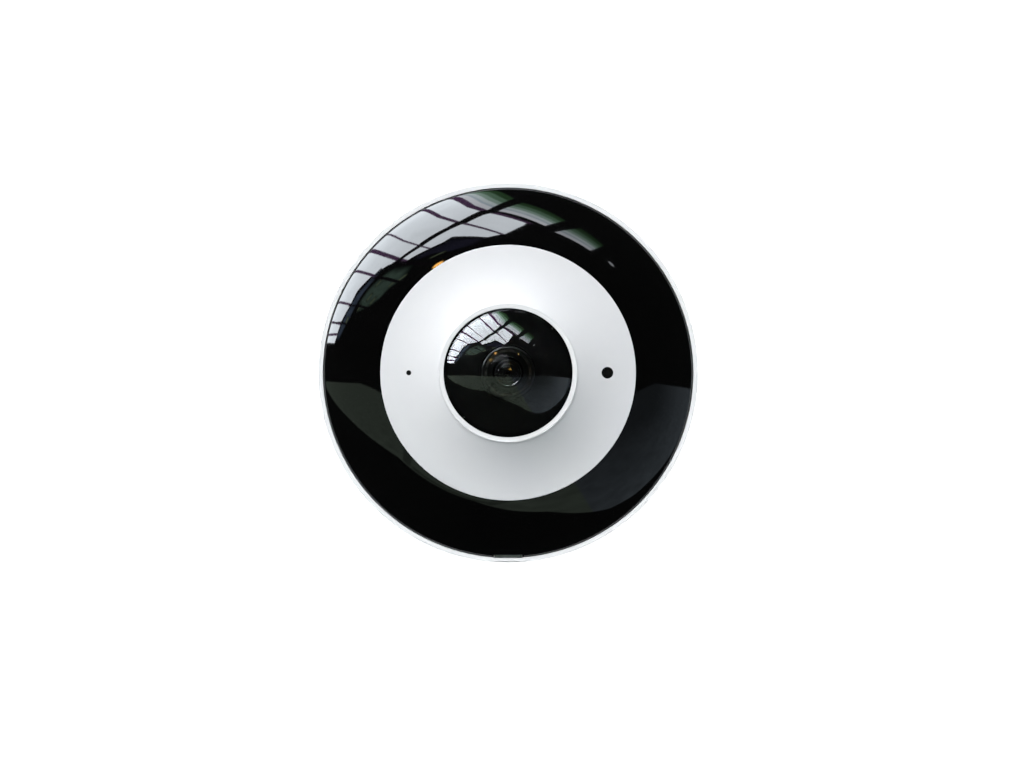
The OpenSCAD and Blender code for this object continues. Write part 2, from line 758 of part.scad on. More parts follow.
module dome() {
    color("lightblue", 0.3) rotate_extrude() intersection() {
        half_plane(flange_z, dome_c + dome_r + over);
        difference() {
            union() {
                translate([0, dome_c]) circle(r = dome_r, $fn = 180);
                translate([0, flange_z]) square([flange_r, dome_flange_t]);
            }
            translate([0, dome_c]) circle(r = dome_in_r, $fn = 180);
            translate([0, flange_z - dome_r]) square([dome_r / 2, dome_r]);
        }
    }
}

module dome_seal() {
    color("dimgray") rotate_extrude() translate([dome_seal_r, flange_top + dome_seal_t / 2])
        circle(d = dome_seal_t, $fn = 24);
}

module dome_clamp_ring() {
    color("dimgray") difference() {
        translate([0, 0, clamp_z]) tube(clamp_r, clamp_in_r, clamp_t);
        for (a = [0 : 90 : 270]) at_polar(clamp_screw_r, a) translate([0, 0, clamp_z - over])
            cylinder(r = small_shank_r + place_gap, h = clamp_t + 2 * over, $fn = 24);
    }
}

module lens_mask() {
    mask_lip = 1.8;
    mask_r = clamp_in_r - mask_lip;
    mask_t = 1.2;
    mask_gap = 0.7;
    mask_hole_r = lens_head_d / 2 + mask_gap;
    mask_rise = 2.6;
    shoulder_z = flange_z + mask_rise;
    color("black") rotate_extrude() polygon([[mask_r - mask_t, mask_flange_z],
        [mask_flange_r, mask_flange_z], [mask_flange_r, clamp_z], [mask_r, clamp_z], [mask_r, shoulder_z],
        [mask_hole_r, shoulder_z + mask_rise], [mask_hole_r, shoulder_z + mask_rise - mask_t],
        [mask_r - mask_t, shoulder_z - mask_t]]);
}

module light_baffle() {
    color("black") translate([0, 0, led_board_top])
        tube(baffle_in_r + baffle_t, baffle_in_r, window_flange_z - led_board_top);
}

module release_tab() {
    color("darkgray") rotate([0, 0, 270]) {
        catch_foot();
        translate([tab_in, -tab_w / 2, foot_z]) cube([tab_t, tab_w, rim_h - tab_gap - foot_z]);
    }
}

// A point of the spring's wire: ring i of its length, corner j of its section
function spring_point(i, j, rings, length) =
    let (a = 360 * spring_turns * i / rings, b = 60 * j,
         r = spring_out_r - spring_wire_r + spring_wire_r * cos(b),
         run = length - 2 * spring_wire_r)
    [r * cos(a), r * sin(a), spring_wire_r + run * i / rings + spring_wire_r * sin(b)];

module tab_spring() {
    rings = 8 * spring_turns;
    length = tab_in - spring_rib - 2 * tab_gap;
    points = [for (i = [0 : rings]) for (j = [0 : 5]) spring_point(i, j, rings, length)];
    sides = [for (i = [0 : rings - 1]) for (j = [0 : 5]) let (k = (j + 1) % 6, a = 6 * i, b = 6 * (i + 1))
        each [[a + j, b + j, b + k], [a + j, b + k, a + k]]];
    first = [for (j = [1 : 4]) [0, j, j + 1]];
    last = [for (j = [1 : 4]) [6 * rings, 6 * rings + j + 1, 6 * rings + j]];
    color("silver") translate([0, -spring_rib - tab_gap, spring_z]) rotate([90, 0, 0])
        polyhedron(points = points, faces = concat(sides, first, last));
}

module front_board() {
    color("darkgreen") difference() {
        translate([0, 0, front_board_z]) tube(front_board_out_r, front_board_in_r, front_board_t);
        for (a = front_post_angles) at_polar(front_post_r, a) translate([0, 0, front_board_z - over])
            cylinder(r = small_shank_r + place_gap, h = front_board_t + 2 * over, $fn = 24);
    }
}

module microphone() {
    color("silver") translate([-sensor_hole_r, 0, front_board_top]) difference() {
        cylinder(r = mic_r, h = mic_h, $fn = 48);
        translate([0, 0, mic_h * 4 / 5]) cylinder(r = mic_r / 3, h = mic_h, $fn = 32);
    }
}

module microphone_boot() {
    color("black") translate([-sensor_hole_r, 0, front_board_top]) difference() {
        cylinder(r = mic_r + boot_wall, h = part_space, $fn = 48);
        translate([0, 0, -over]) cylinder(r = mic_r, h = mic_h + over, $fn = 48);
        cylinder(d = mic_hole_d, h = dome_r, $fn = 32);
    }
}

module light_sensor() {
    package = 2.4;
    package_h = 0.7;
    color("dimgray") translate([sensor_hole_r, 0, front_board_top]) {
        block(package, package * 5 / 6, package_h);
        cylinder(r = package_h, h = package_h * 3 / 2, $fn = 24);
    }
}

module sensor_window() {
    plug_top = cover_top(sensor_hole_r + light_hole_d / 2) - 2 * place_gap;
    flange_h = 1;
    color("darkslategray") translate([sensor_hole_r, 0, pad_z]) {
        cylinder(d = light_hole_d - place_gap, h = plug_top - pad_z, $fn = 48);
        translate([0, 0, -flange_h]) cylinder(d = light_hole_d + 2 * flange_h, h = flange_h, $fn = 48);
    }
}

module ir_led_board() {
    color("darkgreen") difference() {
        translate([0, 0, led_board_h]) tube(led_board_out_r, led_board_in_r, board_t);
        for (a = led_post_angles) at_polar(led_post_circle, a) translate([0, 0, led_board_h - over])
            cylinder(r = board_shank_r + place_gap, h = board_t + 2 * over, $fn = 24);
    }
}

module ir_leds() {
    color("ivory") for (i = [0 : led_count - 1]) at_polar(led_circle_r, 360 * i / led_count)
        translate([0, 0, led_board_top]) block(led_size, led_size, led_h);
}

module led_lenses() {
    lens_r = led_size * 4 / 9;
    color("lightblue", 0.6) for (i = [0 : led_count - 1]) at_polar(led_circle_r, 360 * i / led_count)
        translate([0, 0, led_board_top + led_h]) intersection() {
            sphere(r = lens_r, $fn = 32);
            block(led_size, led_size, led_size);
        }
}

module lens_barrel() {
    head_r = lens_head_d / 2;
    glass_r = front_glass_d / 2 + place_gap / 2;
    chamfer = 0.7;
    groove = 0.5;
    color("black") difference() {
        rotate_extrude() polygon([[bore_rear_r, lens_rear_z], [lens_thread_d / 2, lens_rear_z],
            [lens_thread_d / 2, lens_head_z], [head_r, lens_head_z], [head_r, lens_front_z - chamfer],
            [head_r - chamfer, lens_front_z], [glass_r, lens_front_z], [glass_r, front_seat_z],
            [bore_mid_r, front_seat_z], [bore_mid_r, bore_step_z], [bore_rear_r, bore_step_z]]);
        for (k = [1 : 3]) translate([0, 0, lens_head_z + k * lens_head_l / 5])
            tube(head_r + over, head_r - groove, groove);
    }
}

module lens_front_element() {
    color("lightblue", 0.5) difference() {
        union() {
            translate([0, 0, front_seat_z]) cylinder(d = front_glass_d, h = front_glass_edge);
            intersection() {
                translate([0, 0, front_glass_c]) sphere(r = front_glass_r);
                translate([0, 0, front_rim_z - place_gap]) cylinder(d = front_glass_d, h = front_glass_r);
            }
        }
        translate([0, 0, front_seat_z]) sphere(r = front_glass_hollow);
    }
}

module lens_front_ring() {
    ring_h = 1.4;
    color("dimgray") difference() {
        translate([0, 0, front_rim_z]) cylinder(d = front_glass_d, h = ring_h);
        translate([0, 0, front_glass_c]) sphere(r = front_glass_r + place_gap / 2);
    }
}

module lens_inner_elements() {
    second_z = bore_step_z + 1;
    second_t = 2.2;
    hollow_r = 4.4;
    hollow_depth = 1.4;
    rear_z = lens_rear_z + place_gap * 8;
    rear_t = 3;
    third_z = rear_z + rear_t + place_gap * 8;
    third_t = 2.4;
    color("lightblue", 0.5) {
        difference() {
            translate([0, 0, second_z]) cylinder(r = bore_mid_r - place_gap / 2, h = second_t);
            translate([0, 0, second_z + second_t - hollow_depth + hollow_r]) sphere(r = hollow_r);
        }
        translate([0, 0, third_z]) cylinder(r = bore_rear_r - place_gap / 2, h = third_t);
        translate([0, 0, rear_z]) cylinder(r = bore_rear_r - place_gap / 2, h = rear_t);
    }
}

module lens_lock_ring() {
    ring_h = 1.7;
    notch_r = 0.4;
    ring_r = holder_neck_r + notch_r;
    color("black") translate([0, 0, holder_top]) difference() {
        tube(ring_r, lens_thread_d / 2 + place_gap / 2, ring_h);
        for (a = [0 : 30 : 330]) at_polar(ring_r, a) translate([0, 0, -over])
            cylinder(r = notch_r, h = ring_h + 2 * over, $fn = 16);
    }
}

module lens_holder() {
    end_gap = 0.5;
    channel_x = slider_len / 2 + filter_travel / 2 + end_gap;
    ear_side = ear_w / 2 + filter_travel / 2 + end_gap - place_gap;
    lug_y = 5;
    color("dimgray") difference() {
        union() {
            translate([0, 0, sensor_board_top]) block(holder_x, holder_y, block_top - sensor_board_top);
            translate([0, 0, sensor_board_top]) block(holder_x + 2 * holder_lug_w, lug_y, holder_lug_t);
            translate([0, 0, block_top - over])
                cylinder(r = holder_neck_r, h = holder_top - block_top + over);
        }
        translate([0, 0, sensor_board_top - over])
            block(sensor_space, sensor_space, channel_z - end_gap - sensor_board_top + over);
        translate([0, 0, sensor_board_top])
            cylinder(r = slider_half - 2 * place_gap, h = channel_z - sensor_board_top + over);
        translate([-channel_x, -slider_half - slide_gap, channel_z])
            cube([2 * channel_x, slider_w + 2 * slide_gap, channel_h]);
        translate([-ear_side, -holder_y, channel_z]) cube([2 * ear_side, holder_y, channel_h]);
        translate([0, 0, channel_top - over]) cylinder(r = lens_thread_d / 2 + place_gap / 2, h = holder_top);
        for (s = [-1, 1]) translate([s * holder_screw_x, 0, sensor_board_top - over])
            cylinder(r = small_shank_r + place_gap, h = holder_lug_t + 2 * over, $fn = 24);
    }
}

module filter_slider() {
    mid = filter_travel / 2;
    filter_lip = 0.3;
    slot_len = arm_r * (1 - cos(swing)) + 2 * arm_pin_r + 4 * slide_gap;
    color("black") translate([0, 0, slider_z]) difference() {
        union() {
            translate([mid - slider_len / 2, -slider_half, 0]) cube([slider_len, slider_w, slider_t]);
            translate([mid - ear_w / 2, -ear_out, 0]) cube([ear_w, ear_out, slider_t]);
        }
        for (x = [0, filter_travel]) translate([x, 0, slider_t / 2])
            block(filter_size + place_gap, filter_size + place_gap, slider_t);
        for (x = [0, filter_travel]) translate([x, 0, -over])
            cylinder(r = filter_size / 2 - filter_lip, h = slider_t, $fn = 48);
        translate([mid - arm_pin_r - place_gap, arm_pin_y + arm_pin_r + 2 * slide_gap - slot_len, -over])
            cube([2 * (arm_pin_r + place_gap), slot_len, slider_t + 2 * over]);
    }
}

module filter_glass(x) {
    translate([x, 0, slider_z + slider_t / 2]) block(filter_size, filter_size, slider_t / 2 - place_gap);
}

module ir_cut_filter() {
    color("paleturquoise", 0.7) filter_glass(0);
}

module clear_filter() {
    color("lightcyan", 0.5) filter_glass(filter_travel);
}

module filter_arm() {
    hub_r = 2;
    sleeve_r = 2 * pivot_r;
    arm_w = 1.8;
    pin_z = slider_z + 2 * place_gap;
    color("black") translate([0, pivot_y, 0]) rotate([0, 0, -swing]) difference() {
        union() {
            translate([0, 0, magnet_z]) cylinder(r = sleeve_r, h = arm_z + arm_t - magnet_z, $fn = 32);
            translate([0, 0, arm_z]) cylinder(r = hub_r, h = arm_t, $fn = 32);
            translate([-arm_w / 2, 0, arm_z]) cube([arm_w, arm_r, arm_t]);
            translate([0, arm_r, pin_z]) cylinder(r = arm_pin_r, h = arm_z + arm_t - pin_z, $fn = 24);
            translate([0, arm_r, arm_z]) cylinder(d = arm_w, h = arm_t, $fn = 24);
        }
        translate([0, 0, magnet_z - over]) cylinder(r = pivot_r + place_gap / 2, h = 3 * arm_r, $fn = 32);
    }
}

module filter_magnet() {
    color("silver") translate([0, pivot_y, magnet_z])
        tube(magnet_r, 2 * pivot_r + place_gap / 2, arm_z - magnet_z - place_gap);
}

module coil_yoke() {
    yoke_x = magnet_r + magnet_gap + yoke_t / 2;
    yoke_h = 3;
    yoke_over = 2;
    color("silver") translate([0, pivot_y, sensor_board_top + motor_base_t]) {
        for (s = [-1, 1]) translate([s * yoke_x - yoke_t / 2, -yoke_l, 0])
            cube([yoke_t, yoke_l + yoke_over, yoke_h]);
        translate([yoke_t / 2 - yoke_x, -yoke_l, coil_z - core_h / 2])
            cube([2 * yoke_x - yoke_t, yoke_t, core_h]);
    }
}

module filter_coil() {
    coil_r = 1.5;
    coil_l = 4.8;
    color("peru") translate([0, pivot_y - yoke_l + yoke_t / 2, sensor_board_top + motor_base_t + coil_z])
        rotate([0, 90, 0]) difference() {
            translate([0, 0, -coil_l / 2]) cylinder(r = coil_r, h = coil_l, $fn = 48);
            translate([-core_h / 2, -yoke_t / 2, -coil_l]) cube([core_h, yoke_t, 2 * coil_l]);
        }
}

module filter_motor_base() {
    base = 12;
    base_shift = 2.2;
    pin_over = 0.6;
    color("dimgray") translate([0, pivot_y, sensor_board_top]) {
        translate([0, -base_shift, 0]) block(base, base, motor_base_t);
        cylinder(r = pivot_r, h = arm_z + arm_t + pin_over - sensor_board_top, $fn = 32);
    }
}

module image_sensor() {
    color("dimgray") translate([0, 0, sensor_board_top]) difference() {
        block(sensor_size, sensor_size, sensor_h);
        translate([0, 0, sensor_h / 2])
            block(sensor_size - 2 * sensor_rim, sensor_size - 2 * sensor_rim, sensor_h);
    }
}

module sensor_glass() {
    glass = sensor_size - 2 * sensor_rim - 2 * place_gap;
    glass_t = 0.5;
    color("lightcyan", 0.5) translate([0, 0, sensor_board_top + sensor_h / 2 + 2 * place_gap])
        block(glass, glass, glass_t);
}

module sensor_board() {
    length = sensor_board_y1 - sensor_board_y0;
    color("darkgreen") difference() {
        translate([-sensor_board_w / 2, sensor_board_y0, sensor_board_z])
            cube([sensor_board_w, length, board_t]);
        for (p = standoff_places) translate([p[0], p[1], sensor_board_z - over])
            cylinder(r = board_shank_r + place_gap, h = board_t + 2 * over, $fn = 24);
        for (s = [-1, 1]) translate([s * holder_screw_x, 0, sensor_board_z - over])
            cylinder(r = small_shank_r + place_gap, h = board_t + 2 * over, $fn = 24);
    }
}

module board_standoffs() {
    color("gold") for (p = standoff_places) translate([p[0], p[1], board_top]) difference() {
        cylinder(r = standoff_r, h = sensor_board_z - board_top, $fn = 6);
        translate([0, 0, (sensor_board_z - board_top) / 2])
            cylinder(r = board_shank_r, h = sensor_board_z, $fn = 24);
    }
}

module main_board() {
    color("darkgreen") difference() {
        translate([0, 0, board_z]) cylinder(r = board_r, h = board_t);
        translate([-body_r, board_edge_y, board_z - over])
            cube([body_d, body_r, board_t + 2 * over]);
        for (p = boss_places) translate([p[0], p[1], board_z - over])
            cylinder(r = board_shank_r + place_gap, h = board_t + 2 * over, $fn = 24);
    }
}

module processor() {
    color("dimgray") translate([0, processor_share * board_r, floor_top + pad_t])
        block(chip_size, chip_size, board_gap - pad_t);
}

module thermal_pad() {
    color("lightsteelblue") translate([0, processor_share * board_r, floor_top])
        block(chip_size, chip_size, pad_t);
}

// Chips of a group. Each has five shares: x and y of the board's radius, then length, width and
// height of the processor's size
module chips(shares) {
    for (c = shares) translate([c[0] * board_r, c[1] * board_r, board_top])
        block(c[2] * chip_size, c[3] * chip_size, c[4] * chip_size);
}

module memory_chips() {
    color("dimgray") chips(memory_shares);
}

module control_chips() {
    color("dimgray") chips(control_shares);
}

module power_inductors() {
    color("dimgray") chips(inductor_shares);
}

module capacitors() {
    can_r = 3.1;
    can_h = 7.6;
    color("silver") for (p = capacitor_shares) translate([p[0] * board_r, p[1] * board_r, board_top])
        cylinder(r = can_r, h = can_h, $fn = 48);
}

module transformers() {
    color("dimgray") chips(transformer_shares);
}

module board_connectors() {
    color("ivory") {
        chips(connector_shares);
        translate([0, loop_y - loop_gap - connector_l / 2, board_top])
            block(connector_w, connector_l, connector_h);
        translate([0, sensor_board_y0 + connector_l, sensor_board_z - connector_h])
            block(connector_w, connector_l, connector_h);
        rotate([0, 0, side_cable_angle]) translate([front_post_r, 0, front_board_z - connector_h])
            block(connector_l, side_connector_w, connector_h);
        rotate([0, 0, side_cable_angle]) translate([front_post_r, 0, board_top])
            block(connector_l, side_connector_w, connector_h);
    }
}

module clock_battery() {
    cell_r = 4.8;
    cell_h = 1.6;
    cap_h = 2.1;
    color("silver") translate([battery_shares[0] * board_r, battery_shares[1] * board_r, board_top]) {
        cylinder(r = cell_r, h = cell_h, $fn = 48);
        cylinder(r = cell_r * 5 / 6, h = cap_h, $fn = 48);
    }
}

module flat_cables() {
    ribbon = 0.3;
    ribbon_w = 10;
    side_w = 6;
    low_z = board_top + connector_h / 2;
    high_z = sensor_board_z - connector_h / 2 - ribbon;
    color("wheat") {
        translate([-ribbon_w / 2, 0, 0]) {
            translate([0, loop_y - loop_gap, low_z]) cube([ribbon_w, loop_gap + ribbon, ribbon]);
            translate([0, loop_y, low_z]) cube([ribbon_w, ribbon, high_z + ribbon - low_z]);
            translate([0, loop_y, high_z])
                cube([ribbon_w, sensor_board_y0 + connector_l / 2 - loop_y, ribbon]);
        }
        rotate([0, 0, side_cable_angle])
            translate([front_post_r - ribbon / 2, -side_w / 2, board_top + connector_h])
                cube([ribbon, side_w, front_board_z - board_top - 2 * connector_h]);
    }
}

module network_jack() {
    mouth_z = board_top + jack_floor;
    latch_w = 3.4;
    latch_h = 1.4;
    color("silver") difference() {
        translate([jack_x - jack_w / 2, socket_y - jack_l, board_top]) cube([jack_w, jack_l, jack_h]);
        translate([jack_x - jack_mouth_w / 2, socket_y - jack_l * jack_depth_share, mouth_z])
            cube([jack_mouth_w, jack_l, jack_mouth_h]);
        translate([jack_x - latch_w, socket_y - jack_l * jack_depth_share, mouth_z + jack_mouth_h - over])
            cube([2 * latch_w, jack_l, latch_h + over]);
    }
}

module jack_contacts() {
    count = 8;
    pitch = 1.02;
    contact_w = 0.4;
    contact_lift = 0.5;
    contact_share = 0.4;
    color("gold") for (i = [0 : count - 1]) translate([jack_x + (i - (count - 1) / 2) * pitch - contact_w / 2,
        socket_y - jack_l * jack_depth_share, board_top + jack_floor + contact_lift])
            cube([contact_w, jack_l * contact_share, contact_w]);
}

module terminal_block() {
    hole_r = 1.3;
    hole_lift = 3;
    hole_depth = 4.5;
    screw_depth = 2;
    color("green") difference() {
        translate([terminal_x - terminal_w / 2, socket_y - terminal_l, board_top])
            cube([terminal_w, terminal_l, terminal_h]);
        for (s = [-1, 1]) {
            translate([terminal_x + s * terminal_w / 4, socket_y + over, board_top + hole_lift])
                rotate([90, 0, 0]) cylinder(r = hole_r, h = hole_depth + over, $fn = 32);
            translate([terminal_x + s * terminal_w / 4, socket_y - terminal_l / 2,
                board_top + terminal_h - screw_depth])
                    cylinder(r = hole_r, h = screw_depth + over, $fn = 32);
        }
    }
}

module card_socket() {
    color("silver") difference() {
        translate([card_x - socket_w / 2, socket_y - socket_l, board_top])
            cube([socket_w, socket_l, socket_h]);
        translate([card_x - card_w / 2 - slide_gap, card_end_y - card_l - 2 * slide_gap, card_z - slide_gap])
            cube([card_w + 2 * slide_gap, card_l, card_t + 2 * slide_gap]);
    }
}

module memory_card() {
    notch = 1.4;
    color("black") difference() {
        translate([card_x - card_w / 2, card_end_y - card_l, card_z]) cube([card_w, card_l, card_t]);
        translate([card_x + card_w / 2 - notch, card_end_y - card_l - over, card_z - over])
            cube([notch + over, card_l / 2, card_t + 2 * over]);
    }
}

module reset_switch() {
    color("dimgray") difference() {
        translate([reset_x - reset_body / 2, wall_y - switch_front - reset_body, board_top])
            cube([reset_body, reset_body, reset_body * 9 / 10]);
        translate([reset_x, wall_y, reset_z]) rotate([90, 0, 0])
            cylinder(r = reset_r + place_gap / 2,
                h = switch_front + button_in + reset_travel + 2 * place_gap, $fn = 32);
    }
}

module reset_button() {
    color("white") translate([reset_x, wall_y + button_out, reset_z]) rotate([90, 0, 0])
        cylinder(r = reset_r, h = button_out + switch_front + button_in, $fn = 32);
}

module board_screws() {
    color("silver") {
        for (p = boss_places) translate([p[0], p[1], board_top])
            screw(board_head_r, board_head_h, board_shank_r, board_t + board_gap + board_bite);
        for (p = standoff_places) translate([p[0], p[1], sensor_board_top])
            screw(board_head_r, board_head_h, board_shank_r, board_t + standoff_bite);
        for (a = led_post_angles) at_polar(led_post_circle, a) translate([0, 0, led_board_top])
            screw(board_head_r, board_head_h, board_shank_r, board_t + post_bite);
        for (s = [-1, 1]) translate([s * holder_screw_x, 0, sensor_board_top + holder_lug_t])
            screw(small_head_r, small_head_h, small_shank_r, holder_bite);
    }
}

mounting_plate();
rear_housing();
housing_seal();
trim_ring();
ir_window();
front_cover();
cover_screws();
dome();
dome_seal();
dome_clamp_ring();
lens_mask();
light_baffle();
release_tab();
tab_spring();
front_board();
microphone();
microphone_boot();
light_sensor();
sensor_window();
ir_led_board();
ir_leds();
led_lenses();
lens_barrel();
lens_front_element();
lens_front_ring();
lens_inner_elements();
lens_lock_ring();
lens_holder();
filter_slider();
ir_cut_filter();
clear_filter();
filter_arm();
filter_magnet();
filter_coil();
coil_yoke();
filter_motor_base();
image_sensor();
sensor_glass();
sensor_board();
board_standoffs();
main_board();
processor();
thermal_pad();
memory_chips();
control_chips();
power_inductors();
capacitors();
transformers();
board_connectors();
clock_battery();
flat_cables();
network_jack();
jack_contacts();
terminal_block();
card_socket();
memory_card();
reset_switch();
reset_button();
board_screws();
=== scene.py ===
"""Fisheye camera, dressed: smooth shells, a clear dome, the lens and its moulded finishes.

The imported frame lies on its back, in metres: the mounting face is z = 0, the lens looks along +Z
and the release tab is on the -Y side. Lengths below are in millimetres unless they say metres.
"""
import math

import bmesh
import bpy
from mathutils import Matrix, Vector


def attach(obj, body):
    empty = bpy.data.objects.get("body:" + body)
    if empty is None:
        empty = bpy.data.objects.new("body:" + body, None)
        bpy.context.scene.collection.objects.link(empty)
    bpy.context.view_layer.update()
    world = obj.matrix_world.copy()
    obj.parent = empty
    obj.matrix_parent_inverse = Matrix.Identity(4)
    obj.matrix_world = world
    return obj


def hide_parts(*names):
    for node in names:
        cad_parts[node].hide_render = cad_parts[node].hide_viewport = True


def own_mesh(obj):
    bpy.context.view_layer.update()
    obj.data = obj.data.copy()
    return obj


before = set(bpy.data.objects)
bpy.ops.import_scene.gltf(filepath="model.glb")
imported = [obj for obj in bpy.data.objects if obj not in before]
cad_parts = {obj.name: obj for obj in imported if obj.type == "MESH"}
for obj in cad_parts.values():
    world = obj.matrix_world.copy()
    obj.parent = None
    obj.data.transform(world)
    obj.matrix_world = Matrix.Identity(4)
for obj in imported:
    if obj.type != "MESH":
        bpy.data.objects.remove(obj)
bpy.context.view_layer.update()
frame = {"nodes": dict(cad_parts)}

MM = 0.001
TURN = 2 * math.pi

# Sizes shared with the part's source. C and Z are the places of an arc's centre.
BODY_R = 75.0
RIM_H = 20.5
SEAM_H = 13.0
RIM_ARC = 1.85
RIM_FLAT_CUT = 0.6
WINDOW_R = 73.1
WINDOW_ARC_R = 43.3
WINDOW_T = 2.0
WINDOW_SEAT = 18.3
ARC_C = 37.6306
ARC_Z = -4.3357
COVER_R = 50.3
COVER_T = 2.0
COLLAR_R = 27.3
FLARE_R = 68.5575
FLARE_C = 56.2752
FLARE_Z = 105.6182
LIP_Z = 44.2836
PLACE_GAP = 0.1
DOME_R = 29.398
DOME_C = 28.855
FLANGE_R = 31.5
FLANGE_Z = 36.449
FLANGE_TOP = 38.049
SEAT_Z = 39.549
TAB_SLOT_W = 11.4
TAB_SLOT_DEPTH = 1.3
MIC_HOLE_D = 2.0
LIGHT_HOLE_D = 4.6
SENSOR_HOLE_R = 39.0

# The scene's own sizes. The dome is thin so that its two surfaces mirror the room in one place.
DOME_T = 0.2
WINDOW_EDGE = 1.35
SHARP_ANGLE = 32

# The camera: straight above the lens, with the object's centre where the photograph has it
IMAGE_W = 1024
IMAGE_H = 768
PIXEL = 0.3947
CENTRE_PX = (508.1, 372.8)
CAMERA_LENS = 300.0
SENSOR_W = 36.0


def make_camera():
    data = bpy.data.cameras.new("camera")
    data.lens = CAMERA_LENS
    data.sensor_width = SENSOR_W
    data.clip_end = 20
    distance = CAMERA_LENS / SENSOR_W * IMAGE_W * PIXEL
    camera = bpy.data.objects.new("camera", data)
    camera.location = (
        (IMAGE_W / 2 - CENTRE_PX[0]) * PIXEL * MM,
        (CENTRE_PX[1] - IMAGE_H / 2) * PIXEL * MM,
        (distance + RIM_H) * MM,
    )
    bpy.context.scene.collection.objects.link(camera)
    bpy.context.scene.camera = camera


# Shader building

def add(tree, kind, inputs=None, **settings):
    """A shader node with its settings and the default values of its inputs."""
    node = tree.nodes.new(kind)
    for name, value in settings.items():
        setattr(node, name, value)
    for name, value in (inputs or {}).items():
        node.inputs[name].default_value = value
    return node


def new_group(name, inputs, outputs):
    """An empty shader group with float sockets, and its input and output nodes."""
    group = bpy.data.node_groups.new(name, "ShaderNodeTree")
    for label, value in inputs.items():
        socket = group.interface.new_socket(label, in_out="INPUT", socket_type="NodeSocketFloat")
        socket.default_value = value
    for label in outputs:
        group.interface.new_socket(label, in_out="OUTPUT", socket_type="NodeSocketFloat")
    return group, group.nodes.new("NodeGroupInput"), group.nodes.new("NodeGroupOutput")


def scaled(tree, source, factor):
    """source times factor."""
    node = add(tree, "ShaderNodeMath", operation="MULTIPLY")
    tree.links.new(source, node.inputs[0])
    tree.links.new(factor, node.inputs[1])
    return node.outputs[0]


def ranged(tree, source, low, high):
    """source mapped from low..high to 0..1, clamped and smooth."""
    node = add(tree, "ShaderNodeMapRange", {"From Min": low, "From Max": high},
               interpolation_type="SMOOTHSTEP")
    tree.links.new(source, node.inputs["Value"])
    return node.outputs["Result"]


def grain_group():
    """Fine moulded grain: a height for the bump and soft mottling for colour and gloss."""
    group, start, end = new_group("moulded_grain", {"Grain Scale": 1500.0, "Mottle Scale": 40.0},
                                  ["Height", "Mottle"])
    place = add(group, "ShaderNodeTexCoord")
    fine = add(group, "ShaderNodeTexNoise", {"Detail": 3.0, "Roughness": 0.6})
    broad = add(group, "ShaderNodeTexNoise", {"Detail": 4.0, "Roughness": 0.55})
    for texture, scale in ((fine, "Grain Scale"), (broad, "Mottle Scale")):
        group.links.new(place.outputs["Object"], texture.inputs["Vector"])
        group.links.new(start.outputs[scale], texture.inputs["Scale"])
    group.links.new(fine.outputs["Fac"], end.inputs["Height"])
    group.links.new(ranged(group, broad.outputs["Fac"], 0.3, 0.7), end.inputs["Mottle"])
    return group


def wear_group():
    """Where edges have rubbed: convex edges, broken up by noise."""
    group, start, end = new_group("edge_wear", {"Amount": 0.5, "Scale": 300.0}, ["Mask"])
    place = add(group, "ShaderNodeTexCoord")
    shape = add(group, "ShaderNodeNewGeometry")
    noise = add(group, "ShaderNodeTexNoise", {"Detail": 5.0, "Roughness": 0.7})
    group.links.new(place.outputs["Object"], noise.inputs["Vector"])
    group.links.new(start.outputs["Scale"], noise.inputs["Scale"])
    edge = ranged(group, shape.outputs["Pointiness"], 0.52, 0.6)
    broken = ranged(group, noise.outputs["Fac"], 0.4, 0.65)
    mask = scaled(group, scaled(group, edge, broken), start.outputs["Amount"])
    group.links.new(mask, end.inputs["Mask"])
    return group


def dust_group():
    """A thin film of dust on what faces up, thicker in some places."""
    group, start, end = new_group("settled_dust", {"Amount": 0.1, "Scale": 60.0}, ["Mask"])
    place = add(group, "ShaderNodeTexCoord")
    shape = add(group, "ShaderNodeNewGeometry")
    split = add(group, "ShaderNodeSeparateXYZ")
    noise = add(group, "ShaderNodeTexNoise", {"Detail": 6.0, "Roughness": 0.65})
    group.links.new(place.outputs["Object"], noise.inputs["Vector"])
    group.links.new(start.outputs["Scale"], noise.inputs["Scale"])
    group.links.new(shape.outputs["Normal"], split.inputs["Vector"])
    upward = ranged(group, split.outputs["Z"], 0.2, 1.0)
    patches = ranged(group, noise.outputs["Fac"], 0.42, 0.75)
    mask = scaled(group, scaled(group, upward, patches), start.outputs["Amount"])
    group.links.new(mask, end.inputs["Mask"])
    return group


GROUPS = {"grain": grain_group(), "wear": wear_group(), "dust": dust_group()}
DUST_COLOUR = (0.42, 0.41, 0.39, 1)
GRAIN_DEPTH = 0.0004  # metres


def placed(tree, group, **values):
    """One of the groups in a material, with its own values."""
    node = add(tree, "ShaderNodeGroup", node_tree=GROUPS[group])
    for name, value in values.items():
        node.inputs[name.replace("_", " ").title()].default_value = value
    return node


def mixed(tree, factor, first, second):
    """A colour mix. first and second are colours or sockets."""
    node = add(tree, "ShaderNodeMix", data_type="RGBA")
    tree.links.new(factor, node.inputs["Factor"])
    for name, value in (("A", first), ("B", second)):
        socket = next(s for s in node.inputs if s.name == name and s.type == "RGBA")
        if isinstance(value, bpy.types.NodeSocket):
            tree.links.new(value, socket)
        else:
            socket.default_value = value
    return next(s for s in node.outputs if s.type == "RGBA")


def spread(tree, factor, low, high):
    """A number that goes from low to high with factor."""
    node = add(tree, "ShaderNodeMapRange", {"To Min": low, "To Max": high})
    tree.links.new(factor, node.inputs["Value"])
    return node.outputs["Result"]


def grey(value, tint=(1, 1, 1)):
    return (value * tint[0], value * tint[1], value * tint[2], 1)


